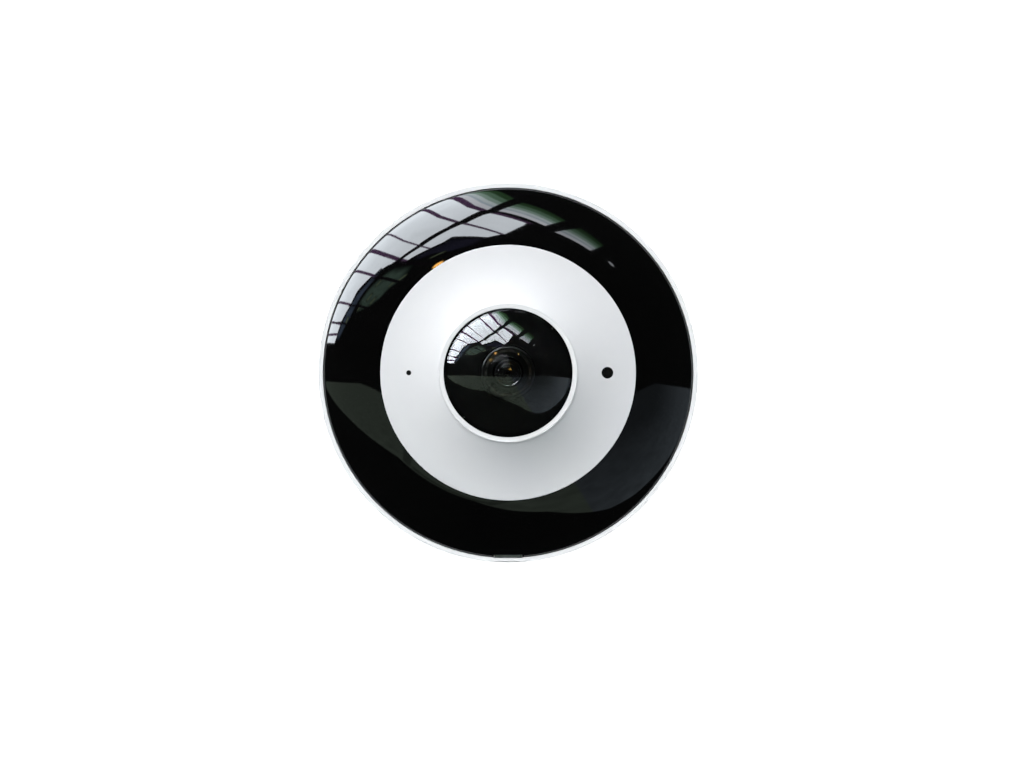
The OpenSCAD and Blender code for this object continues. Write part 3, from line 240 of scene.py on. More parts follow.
def finish(name, colour, shade, rough, grain_scale=1500.0, mottle=40.0, depth=0.02, wear=0.3,
           worn=None, dust=0.06, **constants):
    """Two close shades, roughness that varies, grain in the bump, rubbed edges and dust."""
    material = bpy.data.materials.new(name)
    material.use_nodes = True
    tree = material.node_tree
    shader = tree.nodes["Principled BSDF"]
    grain = placed(tree, "grain", grain_scale=grain_scale, mottle_scale=mottle)
    edges = placed(tree, "wear", amount=wear)
    film = placed(tree, "dust", amount=dust)
    base = mixed(tree, grain.outputs["Mottle"], colour, shade)
    base = mixed(tree, edges.outputs["Mask"], base, worn or colour)
    base = mixed(tree, film.outputs["Mask"], base, DUST_COLOUR)
    tree.links.new(base, shader.inputs["Base Color"])
    roughness = spread(tree, grain.outputs["Mottle"], *rough)
    tree.links.new(roughness, shader.inputs["Roughness"])
    bump = add(tree, "ShaderNodeBump", {"Strength": depth, "Distance": GRAIN_DEPTH})
    tree.links.new(grain.outputs["Height"], bump.inputs["Height"])
    tree.links.new(bump.outputs["Normal"], shader.inputs["Normal"])
    for label, value in constants.items():
        shader.inputs[label.replace("_", " ")].default_value = value
    return material


# One function for each finish of the record's slots

def cover_white():
    return finish("cover_white", grey(0.80), grey(0.78, (1, 1, 1.01)), (0.36, 0.44), wear=0.2,
                  dust=0.02, depth=0.05)


def trim_white():
    return finish("trim_white", grey(0.86), grey(0.84, (1, 1, 1.01)), (0.38, 0.46), wear=0.2,
                  dust=0.02, depth=0.05)


def housing_white():
    return finish("housing_white", grey(0.77), grey(0.74, (1.01, 1, 0.98)), (0.42, 0.52),
                  depth=0.1, dust=0.05)


def window_black():
    return finish("window_black", grey(0.0008), grey(0.0012), (0.03, 0.045), mottle=25.0,
                  depth=0.003, wear=0.05, worn=grey(0.03), dust=0.001, IOR=1.49)


def dome_clear():
    return finish("dome_clear", grey(0.98), grey(0.96), (0.0, 0.002), depth=0.0, wear=0.0,
                  dust=0.0, Transmission_Weight=1.0, IOR=1.4)


def black_plastic():
    return finish("black_plastic", grey(0.004), grey(0.006), (0.42, 0.55), depth=0.15, wear=0.1,
                  worn=grey(0.02), dust=0.002, Specular_IOR_Level=0.12)


def grey_plastic():
    return finish("grey_plastic", (0.33, 0.36, 0.32, 1), (0.28, 0.31, 0.275, 1), (0.28, 0.38),
                  depth=0.08, worn=grey(0.6))


def smoked_plastic():
    return finish("smoked_plastic", grey(0.003), grey(0.005), (0.06, 0.12), depth=0.01,
                  dust=0.002, IOR=1.8, Specular_IOR_Level=0.9)


def rubber_black():
    return finish("rubber_black", grey(0.02), grey(0.035), (0.7, 0.85), depth=0.25, dust=0.2)


def rubber_grey():
    return finish("rubber_grey", grey(0.16), grey(0.2), (0.65, 0.8), depth=0.2, dust=0.1)


def plate_metal():
    return finish("plate_metal", grey(0.62, (1, 1, 1.02)), grey(0.54), (0.28, 0.42), mottle=90.0,
                  depth=0.12, worn=grey(0.8), Metallic=0.85)


def steel():
    return finish("steel", grey(0.62), grey(0.5), (0.22, 0.36), mottle=300.0, depth=0.06,
                  Metallic=1.0)


def spring_steel():
    return finish("spring_steel", grey(0.5), grey(0.36, (1, 0.98, 0.94)), (0.2, 0.34),
                  mottle=400.0, Metallic=1.0)


def barrel_black():
    return finish("barrel_black", grey(0.005), grey(0.008), (0.4, 0.5), depth=0.08, wear=0.1,
                  worn=grey(0.05), dust=0.002, Specular_IOR_Level=0.2)


def ring_grey():
    return finish("ring_grey", grey(0.03), grey(0.02), (0.3, 0.4), mottle=200.0, worn=grey(0.2),
                  dust=0.002, Metallic=1.0)


def lens_glass():
    return finish("lens_glass", grey(0.95), grey(0.93, (0.98, 1, 0.98)), (0.0, 0.01), depth=0.0,
                  wear=0.0, dust=0.0, Transmission_Weight=1.0, IOR=1.16)


def cut_glass():
    return finish("cut_glass", (0.45, 0.8, 0.9, 1), (0.4, 0.72, 0.88, 1), (0.0, 0.02), depth=0.0,
                  wear=0.0, dust=0.0, Transmission_Weight=1.0, IOR=1.52)


def magnet_metal():
    return finish("magnet_metal", grey(0.5), grey(0.42), (0.18, 0.3), Metallic=1.0)


def copper_wire():
    return finish("copper_wire", (0.72, 0.33, 0.14, 1), (0.55, 0.22, 0.09, 1), (0.25, 0.4),
                  grain_scale=2500.0, mottle=900.0, depth=0.5, Metallic=1.0)


def board_green():
    return finish("board_green", (0.012, 0.10, 0.035, 1), (0.02, 0.14, 0.05, 1), (0.25, 0.4),
                  mottle=260.0, depth=0.1, worn=(0.4, 0.3, 0.1, 1))


def chip_black():
    return finish("chip_black", grey(0.02), grey(0.028), (0.45, 0.6), depth=0.15)


def pad_blue():
    return finish("pad_blue", (0.22, 0.33, 0.5, 1), (0.18, 0.28, 0.45, 1), (0.7, 0.85),
                  depth=0.15)


def ceramic_white():
    return finish("ceramic_white", grey(0.75, (1, 0.97, 0.88)), grey(0.68, (1, 0.96, 0.85)),
                  (0.35, 0.5))


def can_metal():
    return finish("can_metal", grey(0.66), grey(0.56), (0.2, 0.34), mottle=160.0, depth=0.05,
                  Metallic=1.0)


def brass():
    return finish("brass", (0.78, 0.55, 0.24, 1), (0.62, 0.42, 0.17, 1), (0.22, 0.36),
                  mottle=300.0, Metallic=1.0)


def gold_contact():
    return finish("gold_contact", (0.9, 0.66, 0.28, 1), (0.8, 0.56, 0.22, 1), (0.15, 0.25),
                  Metallic=1.0)


def connector_ivory():
    return finish("connector_ivory", (0.72, 0.67, 0.52, 1), (0.66, 0.6, 0.46, 1), (0.4, 0.55))


def ribbon_film():
    return finish("ribbon_film", (0.42, 0.3, 0.14, 1), (0.36, 0.25, 0.11, 1), (0.2, 0.35),
                  mottle=500.0)


def terminal_green():
    return finish("terminal_green", (0.02, 0.32, 0.1, 1), (0.018, 0.27, 0.085, 1), (0.35, 0.5))


FINISHES = {make.__name__: make() for make in (
    cover_white, trim_white, housing_white, window_black, dome_clear, black_plastic,
    grey_plastic, smoked_plastic, rubber_black, rubber_grey, plate_metal, steel, spring_steel,
    barrel_black, ring_grey, lens_glass, cut_glass, magnet_metal, copper_wire, board_green,
    chip_black, pad_blue, ceramic_white, can_metal, brass, gold_contact, connector_ivory,
    ribbon_film, terminal_green)}


def dress_nodes():
    """Every CAD node keeps its shape and gets the finish of its own slot."""
    for piece in frame["nodes"].values():
        for place in piece.material_slots:
            place.material = FINISHES[place.material.name.split(".")[0]]


# Outlines, as lists of (r, z) points

def spaced(start, end, steps):
    """Numbers from start to end, evenly spaced."""
    return [start + (end - start) * i / steps for i in range(steps + 1)]


def arc(centre, radius, start, end, steps):
    """Points of a circular arc. The angles are in degrees from the +r direction."""
    angles = [math.radians(angle) for angle in spaced(start, end, steps)]
    return [(centre[0] + radius * math.cos(a), centre[1] + radius * math.sin(a)) for a in angles]


def curved(start, corner, end, steps):
    """Points of a curve from start to end that leaves and arrives towards the corner."""
    start, corner, end = Vector(start), Vector(corner), Vector(end)
    return [tuple(start * (1 - t) ** 2 + corner * 2 * t * (1 - t) + end * t ** 2)
            for t in spaced(0.0, 1.0, steps)]


def eased(points, index, radius, steps=4):
    """The corner at index replaced by a small rounding of about that radius."""
    around = (index - 1, index, index + 1)
    before, corner, after = (Vector(points[i % len(points)]) for i in around)
    start = corner + (before - corner).normalized() * radius
    end = corner + (after - corner).normalized() * radius
    return points[:index] + curved(start, corner, end, steps) + points[index + 1:]


def flare_top(r):
    return FLARE_Z - math.sqrt(FLARE_R ** 2 - (FLARE_C - r) ** 2)


def flare_under(r):
    return FLARE_Z - math.sqrt((FLARE_R + COVER_T) ** 2 - (FLARE_C - r) ** 2)


def dome_r_at(z, gap):
    """How far out a surface is at height z that stays gap outside the dome."""
    return math.sqrt((DOME_R + gap) ** 2 - (z - DOME_C) ** 2)


# Pieces from outlines and boxes

def shown(name, mesh):
    """An object of this mesh, smooth but for its sharp edges."""
    for face in mesh.polygons:
        face.use_smooth = True
    mesh.set_sharp_from_angle(angle=math.radians(SHARP_ANGLE))
    piece = bpy.data.objects.new(name, mesh)
    bpy.context.scene.collection.objects.link(piece)
    return piece


def turned(name, outline, segments=360):
    """A solid of revolution round Z from a closed outline."""
    mesh = bpy.data.meshes.new(name)
    shape = bmesh.new()
    rings = []
    for r, z in outline:
        if r < 1e-6:
            rings.append([shape.verts.new((0, 0, z * MM))] * segments)
            continue
        turns = [TURN * i / segments for i in range(segments)]
        rings.append([shape.verts.new((r * math.cos(a) * MM, r * math.sin(a) * MM, z * MM))
                      for a in turns])
    for j, ring in enumerate(rings):
        above = rings[(j + 1) % len(rings)]
        for i in range(segments):
            k = (i + 1) % segments
            corners = []
            for vertex in (ring[i], ring[k], above[k], above[i]):
                if vertex not in corners:
                    corners.append(vertex)
            if len(corners) > 2:
                shape.faces.new(corners)
    bmesh.ops.recalc_face_normals(shape, faces=shape.faces)
    shape.to_mesh(mesh)
    shape.free()
    return shown(name, mesh)


def box_piece(name, low, high):
    """A box from its lowest to its highest corner, used as a cutter."""
    mesh = bpy.data.meshes.new(name)
    shape = bmesh.new()
    size = [(b - a) * MM for a, b in zip(low, high)]
    centre = Vector([(a + b) / 2 * MM for a, b in zip(low, high)])
    place = Matrix.Translation(centre) @ Matrix.Diagonal((*size, 1))
    bmesh.ops.create_cube(shape, size=1, matrix=place)
    shape.to_mesh(mesh)
    shape.free()
    return shown(name, mesh)


def rod(name, x, z_low, z_high, radius, segments=96):
    """An upright rod that stands on the X axis."""
    outline = [(0, z_low), (radius, z_low), (radius, z_high), (0, z_high)]
    piece = turned(name, outline, segments)
    piece.data.transform(Matrix.Translation((x * MM, 0, 0)))
    return piece


def cut(piece, *cutters):
    """Takes the cutters out of the piece for good."""
    for cutter in cutters:
        step = piece.modifiers.new("cut", "BOOLEAN")
        step.operation = "DIFFERENCE"
        step.solver = "EXACT"
        step.object = cutter
    bpy.context.view_layer.update()
    evaluated = piece.evaluated_get(bpy.context.evaluated_depsgraph_get())
    mesh = bpy.data.meshes.new_from_object(evaluated)
    piece.modifiers.clear()
    piece.data = mesh
    mesh.set_sharp_from_angle(angle=math.radians(SHARP_ANGLE))
    for cutter in cutters:
        bpy.data.objects.remove(cutter)


def belongs(piece, slot, body, *nodes):
    """Gives a piece its finish, the body that it moves with and the CAD nodes it stands for."""
    piece.data.materials.clear()
    piece.data.materials.append(FINISHES[slot])
    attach(piece, body)
    if nodes:
        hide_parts(*nodes)
    return piece


def not_mirrored(piece):
    """Keeps a piece out of reflections and out of what the glass shows, so that both stay dark."""
    piece.visible_glossy = False
    piece.visible_transmission = False


# The shells

def make_front_cover():
    """The white disc: a concave flare up to a rounded lip round the dome."""
    edge_r = COVER_R - PLACE_GAP
    edge_round = 0.22
    flare_inset = 0.4
    dome_gap = 0.15
    outline = [(edge_r, flare_under(edge_r)), (edge_r, flare_top(edge_r))]
    outline += [(r, flare_top(r))
                for r in spaced(edge_r - flare_inset, COLLAR_R + flare_inset, 40)]

    # The fillet from the flare up to the lip, and the lip itself, just under its white edge
    lip_r = 0.5
    lip_centre = (COLLAR_R - 0.6, LIP_Z - 0.6)
    fillet_end = (COLLAR_R - 0.1, LIP_Z - 0.35)
    fillet_corner = (COLLAR_R + 0.02, flare_top(COLLAR_R) + 0.02)
    outline += curved(outline[-1], fillet_corner, fillet_end, 6)[1:-1]
    outline += arc(lip_centre, lip_r, 26, 84, 8)

    # Down inside, along the dome
    lip_low = 0.12
    bore_r = dome_r_at(LIP_Z - lip_low, dome_gap)
    outline += [(bore_r + out, LIP_Z - down)
                for out, down in ((0.22, lip_low), (0.06, 0.15), (0.0, 0.26))]
    outline += [(dome_r_at(z, dome_gap), z) for z in (43.4, 42.6, 41.6, 40.6, SEAT_Z)]

    # The skirt round the dome's flange, and back out under the flare
    skirt_r = FLANGE_R + 2 * PLACE_GAP
    skirt_out = skirt_r + 2.5
    outline += [(skirt_r, SEAT_Z), (skirt_r, FLANGE_Z), (skirt_out, FLANGE_Z),
                (skirt_out, flare_under(skirt_out))]
    outline += [(r, flare_under(r)) for r in spaced(skirt_out, edge_r, 16)[1:-1]]

    cover = turned("front_cover_shell", eased(outline, 1, edge_round))
    hole_low, hole_high = 30, 50
    cut(cover, rod("mic_cut", -SENSOR_HOLE_R, hole_low, hole_high, MIC_HOLE_D / 2),
        rod("light_cut", SENSOR_HOLE_R, hole_low, hole_high, LIGHT_HOLE_D / 2))
    belongs(cover, "cover_white", "camera", "front_cover")
    not_mirrored(cover)


def window_angle(r, radius):
    """Where on the window's arc of this radius a point lies that is r from the axis."""
    return 90 - math.degrees(math.asin((r - ARC_C) / radius))


def make_window():
    """The black ring that infrared light passes: a domed band, notched for the release tab."""
    centre = (ARC_C, ARC_Z)
    foot_r = WINDOW_R - WINDOW_T
    inner_r = WINDOW_ARC_R - WINDOW_T
    top = arc(centre, WINDOW_ARC_R, window_angle(WINDOW_R, WINDOW_ARC_R),
              window_angle(COVER_R, WINDOW_ARC_R), 60)
    taken_up = 4  # the arc's first points give way to the rounding at its foot
    outline = top[:1] + top[taken_up:]

    # The flange that the cover sits on
    flange_top = flare_under(COVER_R) - PLACE_GAP
    flange_z = flange_top - 1.7
    flange_r = COVER_R - 6.8
    outline += [(COVER_R, flange_top), (flange_r, flange_top), (flange_r, flange_z),
                (COVER_R + WINDOW_T, flange_z)]
    outline += arc(centre, inner_r, window_angle(COVER_R + WINDOW_T, inner_r),
                   window_angle(foot_r, inner_r), 30)
    outline += [(foot_r, WINDOW_SEAT), (WINDOW_R, WINDOW_SEAT)]
    window = turned("ir_window_shell", eased(outline, 0, WINDOW_EDGE, 8), 480)

    # The notch that the tab shows in, and the pocket that it slides into under the ring
    half = TAB_SLOT_W / 2
    pocket_depth = 2.9
    low = (-half, -WINDOW_R - 1, WINDOW_SEAT - 1)
    notch = box_piece("notch_cut", low, (half, -WINDOW_R + TAB_SLOT_DEPTH, RIM_H + 9))
    pocket = box_piece("pocket_cut", low, (half, -WINDOW_R + pocket_depth, RIM_H + 0.2))
    cut(window, notch, pocket)
    belongs(window, "window_black", "camera", "ir_window")
    window.visible_glossy = False


def make_trim_edge():
    """The flat white top of the trim ring, a little rounded outside, over the solid's edge."""
    edge_r = 0.55
    sunk = 0.12
    corner = BODY_R - RIM_ARC
    foot = RIM_H - RIM_ARC - 0.05
    inside = corner + 0.04
    outline = [(BODY_R - sunk * 2, foot), (BODY_R, foot)]
    outline += arc((BODY_R - edge_r, RIM_H - edge_r), edge_r, 0, 88, 8)
    outline += [(corner + 0.1, RIM_H), (inside, RIM_H - 0.06), (inside, RIM_H - sunk)]
    outline += arc((corner, RIM_H - RIM_ARC), RIM_ARC - sunk, 86, 4, 12)
    cap = turned("trim_edge", outline, 480)

    # Open over the tab's slot and level with the flat beside it
    half, flat_half = TAB_SLOT_W / 2, 16
    slot = box_piece("slot_cut", (-half, -WINDOW_R, SEAM_H), (half, -WINDOW_R + 4, RIM_H + 1))
    flat = box_piece("flat_cut", (-flat_half, -BODY_R - 1, SEAM_H),
                     (flat_half, -BODY_R + RIM_FLAT_CUT, RIM_H + 1))
    cut(cap, slot, flat)
    return belongs(cap, "trim_white", "camera")


def make_lip_edge():
    """The rounded white edge of the cover's lip."""
    lip_r = 0.55
    thick = 0.15
    centre = (COLLAR_R - lip_r, LIP_Z - lip_r)
    inner = dome_r_at(LIP_Z - 0.12, 0.2)
    outline = arc(centre, lip_r, 8, 90, 12)
    outline += [(inner + 0.2, LIP_Z), (inner + 0.02, LIP_Z - 0.06), (inner + 0.02, LIP_Z - 0.3)]
    outline += arc(centre, lip_r - thick, 88, 8, 12)
    cap = belongs(turned("lip_edge", outline), "cover_white", "camera")
    not_mirrored(cap)
    return cap


# The dome and the lens

def make_dome():
    """The clear dome with its clamped flange."""
    centre = (0, DOME_C)
    inner_r = DOME_R - DOME_T
    top_angle, steps = 90, 64
    outer_from = math.degrees(math.asin((FLANGE_TOP - DOME_C) / DOME_R))
    inner_from = math.degrees(math.asin((FLANGE_Z - DOME_C) / inner_r))
    outside = arc(centre, DOME_R, outer_from, top_angle, steps)
    outside[-1] = (0, DOME_C + DOME_R)
    inside = arc(centre, inner_r, top_angle, inner_from, steps)
    inside[0] = (0, DOME_C + inner_r)
    outline = [(FLANGE_R, FLANGE_Z), (FLANGE_R, FLANGE_TOP)] + outside + inside
    belongs(turned("dome_shell", outline), "dome_clear", "camera", "dome")


def make_dome_shield_painted_shade():
    """A thin black shield in the cover's bore, behind the dome's rim: partly a real light shield,
    partly painted shade that keeps the gap seen through the dome's rim dark.
    """
    gap = 0.03
    thick = 0.09
    heights = spaced(SEAT_Z + 0.05, 43.35, 12)
    outline = [(dome_r_at(z, gap), z) for z in heights]
    outline += [(dome_r_at(z, gap + thick), z) for z in reversed(heights)]
    belongs(turned("dome_shield_painted_shade", outline), "black_plastic", "camera")


# The glossy edges of two bores in the lens: inner and outer radius, and the height of the inner
LENS_EDGES = [("lens_bore_edge", 5.0, 5.5, 43.8), ("lens_retainer_edge", 3.5, 3.9, 43.1)]
LENS_EDGE_SLOPE = 0.93
LENS_EDGE_FOOT = 43.0


def make_lens_rings():
    """The glossy edges round the bores under the front glass, which slope inwards."""
    for name, inner, outer, low in LENS_EDGES:
        high = low + (outer - inner) * LENS_EDGE_SLOPE
        back = outer + 0.08
        outline = [(inner, low), (outer, high), (back, high), (back, LENS_EDGE_FOOT),
                   (inner, LENS_EDGE_FOOT)]
        belongs(turned(name, outline, 240), "smoked_plastic", "camera")


def make_lens_seal():
    """The soft black ring that keeps stray light out of the gap round the lens."""
    inner, outer = 10.52, 11.18
    foot, top = 40.6, 41.0
    outline = [(inner, foot), (outer, foot), (outer, top), (outer - 0.28, top + 0.15),
               (inner, top)]
    belongs(turned("lens_light_seal", outline, 180), "black_plastic", "camera")


def make_lens_stop():
    """The lens's black stop: a thin plate with a small round opening between its elements."""
    opening, bevel, outer = 1.3, 0.2, 5.5
    middle, half = 41.0, 0.1
    outline = [(opening, middle), (opening + bevel, middle - half), (outer, middle - half),
               (outer, middle + half), (opening + bevel, middle + half)]
    belongs(turned("lens_stop", outline, 120), "black_plastic", "camera")


# Small parts

def make_tab_spring():
    """The coil spring behind the release tab, copied from its CAD node onto the camera body; the
    copy keeps its length and does not shorten with the tab's travel.
    """
    coil = shown("tab_spring_coil", frame["nodes"]["tab_spring"].data.copy())
    belongs(coil, "spring_steel", "camera", "tab_spring")
    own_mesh(coil)


def make_mic_mesh_painted_shade():
    """The black mesh in the microphone's hole: partly a real dust mesh, partly painted shade that
    keeps the hole dark.
    """
    top = flare_top(SENSOR_HOLE_R) - 0.7
    thick = 0.2
    fit = 0.01
    mesh = rod("microphone_mesh_painted_shade", -SENSOR_HOLE_R, top - thick, top, MIC_HOLE_D / 2 - fit, 48)
    belongs(mesh, "black_plastic", "camera")


# The floor and the light

FLOOR_REACH = 9.0  # metres
FLOOR_OVERLAP = 0.6
PALE_LEVEL = 0.95


def pale_floor():
    material = bpy.data.materials.new("pale_floor")
    material.use_nodes = True
    tree = material.node_tree
    shader = tree.nodes["Principled BSDF"]
    place = add(tree, "ShaderNodeTexCoord")
    noise = add(tree, "ShaderNodeTexNoise", {"Scale": 30.0})
    tree.links.new(place.outputs["Object"], noise.inputs["Vector"])
    base = mixed(tree, noise.outputs["Fac"], grey(0.9), grey(0.88))
    tree.links.new(base, shader.inputs["Base Color"])
    shader.inputs["Roughness"].default_value = 0.8
    shader.inputs["Emission Color"].default_value = (1, 1, 1, 1)
    shader.inputs["Emission Strength"].default_value = PALE_LEVEL
    return material


def make_floor():
    """The plain floor, open where the object stands, so that its back can be seen."""
    count = 180
    rings = [(r * math.cos(TURN * i / count), r * math.sin(TURN * i / count), 0)
             for r in ((BODY_R - FLOOR_OVERLAP) * MM, FLOOR_REACH) for i in range(count)]
    following = [(i + 1) % count for i in range(count)]
    faces = [(i, count + i, count + k, k) for i, k in enumerate(following)]
    mesh = bpy.data.meshes.new("floor")
    mesh.from_pydata(rings, [], faces)
    mesh.materials.append(pale_floor())
    floor = bpy.data.objects.new("floor", mesh)
    bpy.context.scene.collection.objects.link(floor)
    not_mirrored(floor)


# The room that the gloss shows: a glazed roof ahead of +Y, lit ground towards -Y and a few lamps.
# All its places are shares of ROOM_H, in metres, on upright planes that far ahead or behind.
ROOM_H = 12.0

# The glazing bars from right to left: the width, and (x, z) points from the foot up
BARS = [
    (0.05, [(-0.40, -1.2), (-0.32, -0.40), (-0.225, 0.05), (-0.135, 0.25), (0.03, 0.44),
            (0.20, 0.62), (0.33, 0.80)]),
    (0.034, [(-0.62, -1.2), (-0.51, -0.35), (-0.437, 0.07), (-0.35, 0.33), (-0.225, 0.58),
             (-0.06, 0.90), (0.02, 1.1)]),
    (0.022, [(-0.97, -1.4), (-0.86, -0.40), (-0.79, 0.15), (-0.72, 0.45), (-0.60, 0.90)]),
    (0.062, [(-1.22, -1.4), (-1.12, -0.50), (-1.05, 0.03), (-0.97, 0.50), (-0.88, 0.90)]),
    (0.055, [(-1.60, -1.4), (-1.48, -0.46), (-1.42, 0.0), (-1.36, 0.45)]),
    (0.095, [(-2.48, -1.6), (-2.385, -0.79), (-2.30, 0.10), (-2.25, 0.4)]),
    (0.16, [(-3.52, -1.9), (-3.46, -1.06), (-3.43, -0.18), (-3.40, 0.2)]),
    (0.3, [(-4.80, -2.4), (-4.67, -1.43), (-4.48, -0.57), (-4.40, 0.0)]),
    (0.3, [(-6.2, -3.0), (-6.1, -1.8), (-6.0, -0.5), (-5.9, 0.0)]),
]
# The lines that end the panes: their foot, the beam, the inner edge past it and the upper edge
FOOT_LINE = [(0.2, -0.43), (-0.4, -0.45), (-1.0, -0.59), (-1.6, -0.79), (-2.4, -1.09),
             (-3.5, -1.53), (-6.4, -2.72)]
BEAM_LINE = [(0.09, -0.02), (0.05, 0.03), (-0.153, 0.275), (-0.42, 0.445), (-0.68, 0.525),
             (-1.04, 0.545), (-1.3, 0.56)]
INNER_LINE = [(-1.04, 0.545), (-1.12, 0.46), (-1.42, 0.27), (-1.83, 0.10), (-2.30, 0.08),
              (-3.15, -0.12), (-4.4, -0.30), (-6.2, -0.60)]
UPPER_LINE = [(0.16, 0.50), (0.10, 0.64), (-0.06, 0.95), (-0.15, 1.01), (-0.28, 0.86),
              (-0.41, 0.71), (-0.50, 0.78), (-0.70, 0.77), (-0.86, 0.74), (-1.10, 0.70)]
BEAM_WIDTH = 0.045
BEAM_PANES = 3  # how many panes the beam crosses, from the right
# Where the pane right of the first bar has faded out
FADE_LINE = [(-0.30, -1.2), (-0.20, -0.54), (-0.045, -0.25), (0.05, 0.0)]
# Two narrow patches further right: how bright, a line along the bar, the line they fade out at
PATCHES = [
    (1.0, [(-0.06, 0.262), (0.08, 0.392), (0.25, 0.552)],
     [(0.085, 0.05), (0.23, 0.15), (0.375, 0.27)]),
    (0.7, [(0.33, 0.66), (0.52, 0.735), (0.67, 0.79)],
     [(0.50, 0.31), (0.62, 0.36), (0.75, 0.42)]),
]
# Strips of what fades, from the bar outwards: from, to, brightness and colour
STRIPS = [
    (0.0, 0.2, 0.62, (0.9, 0.93, 1.0)),
    (0.2, 0.28, 0.42, (0.75, 0.9, 1.0)),
    (0.28, 0.42, 0.5, (0.85, 0.97, 1.0)),
    (0.42, 0.58, 0.27, (0.7, 1.0, 0.85)),
    (0.58, 0.78, 0.13, (0.55, 1.0, 0.65)),
    (0.78, 1.0, 0.04, (0.4, 1.0, 0.4)),
]
PANE_STRENGTH = 12.5
PANE_COLOUR = (0.88, 0.94, 1.0)
BAR_STRENGTH = 1.3
BAR_COLOUR = (0.55, 0.25, 0.62)

# What is dimly lit beyond the glazing: its outline, colour and strength
DIM_PARTS = [
    ("haze", [(-1.21, 0.30), (-1.48, 0.27), (-1.84, 0.13), (-2.28, 0.11), (-3.04, -0.02),
              (-5.4, -0.42), (-5.2, 0.0), (-2.94, 0.40), (-2.23, 0.40), (-1.79, 0.38),
              (-1.39, 0.44), (-1.20, 0.42)], (0.5, 0.68, 1.0), 0.75),
    ("greenery", [(-1.21, 0.57), (-1.05, 0.68), (-0.86, 1.02), (-1.06, 1.32), (-1.36, 1.24),
                  (-1.77, 1.26), (-2.14, 1.10), (-2.51, 0.68), (-2.16, 0.44), (-1.69, 0.45)],
     (0.6, 0.95, 0.75), 0.75),
    ("dusk", [(-0.85, 0.80), (-0.62, 0.82), (-0.50, 0.83), (-0.41, 0.77), (-0.28, 0.93),
              (-0.15, 1.06), (-0.255, 1.27), (-0.46, 1.27), (-0.64, 1.02), (-0.84, 0.93)],
     (0.5, 0.5, 1.0), 0.22),
]
DIM_PATCHY = 0.9
DIM_SOFT = 0.3
# Streaks of light on it: the middle, half the width, and the strength
STREAKS = [
    (-1.12, 1.21, 0.11, 1.7), (-1.32, 1.12, 0.09, 1.5), (-1.89, 1.03, 0.16, 1.2),
    (-0.60, 1.14, 0.10, 1.2), (-1.84, 0.76, 0.14, 1.2), (-1.45, 0.66, 0.1, 1.1),
    (-2.3, 0.62, 0.16, 0.9), (-3.06, 0.25, 0.24, 1.3),
]
STREAK_COLOUR = (0.8, 1.0, 0.6)
STREAK_SOFT = 0.5
# The bars that go on as dark lines in front of it
DIM_BARS = [
    [(-1.02, 0.49), (-0.88, 0.94), (-0.72, 1.36)],
    [(-1.4, 0.36), (-1.3, 0.72), (-1.2, 1.28)],
    [(-2.36, -0.02), (-2.23, 0.52), (-2.16, 1.12)],
    [(-3.5, -0.99), (-3.3, -0.22), (-3.34, 0.62)],
]
DIM_BAR_STRENGTH = 0.05
STREAKS_NEAR = 0.98
DIM_BARS_NEAR = 0.97

# Lamps: in degrees their angle from the lens's axis, azimuth and radius; strength and colour
LAMPS = [
    (36.0, 123.0, 1.9, 26.4, (1.0, 0.5, 0.12)),
    (32.6, 60.5, 1.2, 20.4, (1.0, 0.66, 0.2)),
    (33.4, 143.0, 1.7, 10.8, (1.0, 0.66, 0.14)),
    (60.0, 46.6, 1.5, 3.6, (0.9, 0.95, 1.0)),
    (6.6, 60.0, 2.0, 6.0, (1.0, 0.6, 0.12)),
]
LAMP_SIDES = 12
LAMP_SOFT = 0.35

# The lit ground behind -Y: its outline, colour and strength. It dims to the right and upwards.
GROUND_PARTS = [
    ([(-17.0, -5.9), (-3.5, 0.65), (-1.3, 1.55), (-0.264, 1.233), (0.0, 1.0), (0.29, 0.776),
      (0.45, 0.52), (0.61, 0.286), (0.61, 9.1), (-14.0, 9.0), (-23.0, -8.0)],
     (0.76, 0.95, 0.76), 0.5),
    ([(0.61, 0.286), (0.75, 0.1), (1.05, -0.12), (1.2, -0.19), (2.0, -0.62), (2.9, -1.12),
      (11.2, -5.2), (14.0, 9.0), (0.61, 9.1)], (0.74, 0.88, 1.0), 0.46),
]
GROUND_PATCHY = 0.5
GROUND_DIMMING = 1.3
GROUND_DIM_FROM = 3.7
GROUND_LOWEST = 0.35
# Dimmer marks across it
GROUND_MARKS = [
    [(-1.74, 3.87), (-1.32, 3.39), (-1.04, 1.49), (-1.21, 1.58)],
    [(0.1, 1.77), (0.17, 1.62), (-0.13, 1.14), (-0.21, 1.21)],
    [(-1.04, 1.66), (-0.12, 1.28), (-0.13, 1.18), (-1.0, 1.51)],
]
MARK_COLOUR = (0.8, 1.0, 0.8)
MARK_STRENGTH = 0.26
MARK_PATCHY = 0.3
MARKS_NEAR = 0.98


def along(points, x):
    """The second value of a line of points at the first value x. They may run either way."""
    ordered = sorted(points)
    if x <= ordered[0][0]:
        return ordered[0][1]
    for (x1, z1), (x2, z2) in zip(ordered, ordered[1:]):
        if x <= x2:
            return z1 + (z2 - z1) * (x - x1) / (x2 - x1)
    return ordered[-1][1]


def bar_x(bar, z):
    return along([(height, x) for x, height in bar], z)


def meets(bar, line, steps=60):
    """The height at which a bar meets a line of (x, z) points."""
    low, high = bar[0][1], bar[-1][1]
    for z in spaced(low, high, steps - 1):
        if z >= along(line, bar_x(bar, z)):
            return z
    return high


def side(bar, sign, low_line, high_line, low_gap, high_gap):
    """Points up one side of a bar between two lines. A bar is its points and half its width."""
    points, half = bar
    low = meets(points, low_line) + low_gap
    high = meets(points, high_line) - high_gap
    return [Vector((bar_x(points, z) + sign * half, z)) for z in spaced(low, high, 8)]


def between(line, left_x, right_x, shift):
    """The points of a line that lie between two places, from left to right."""
    return [Vector((x, z + shift)) for x, z in sorted(line) if left_x < x < right_x]


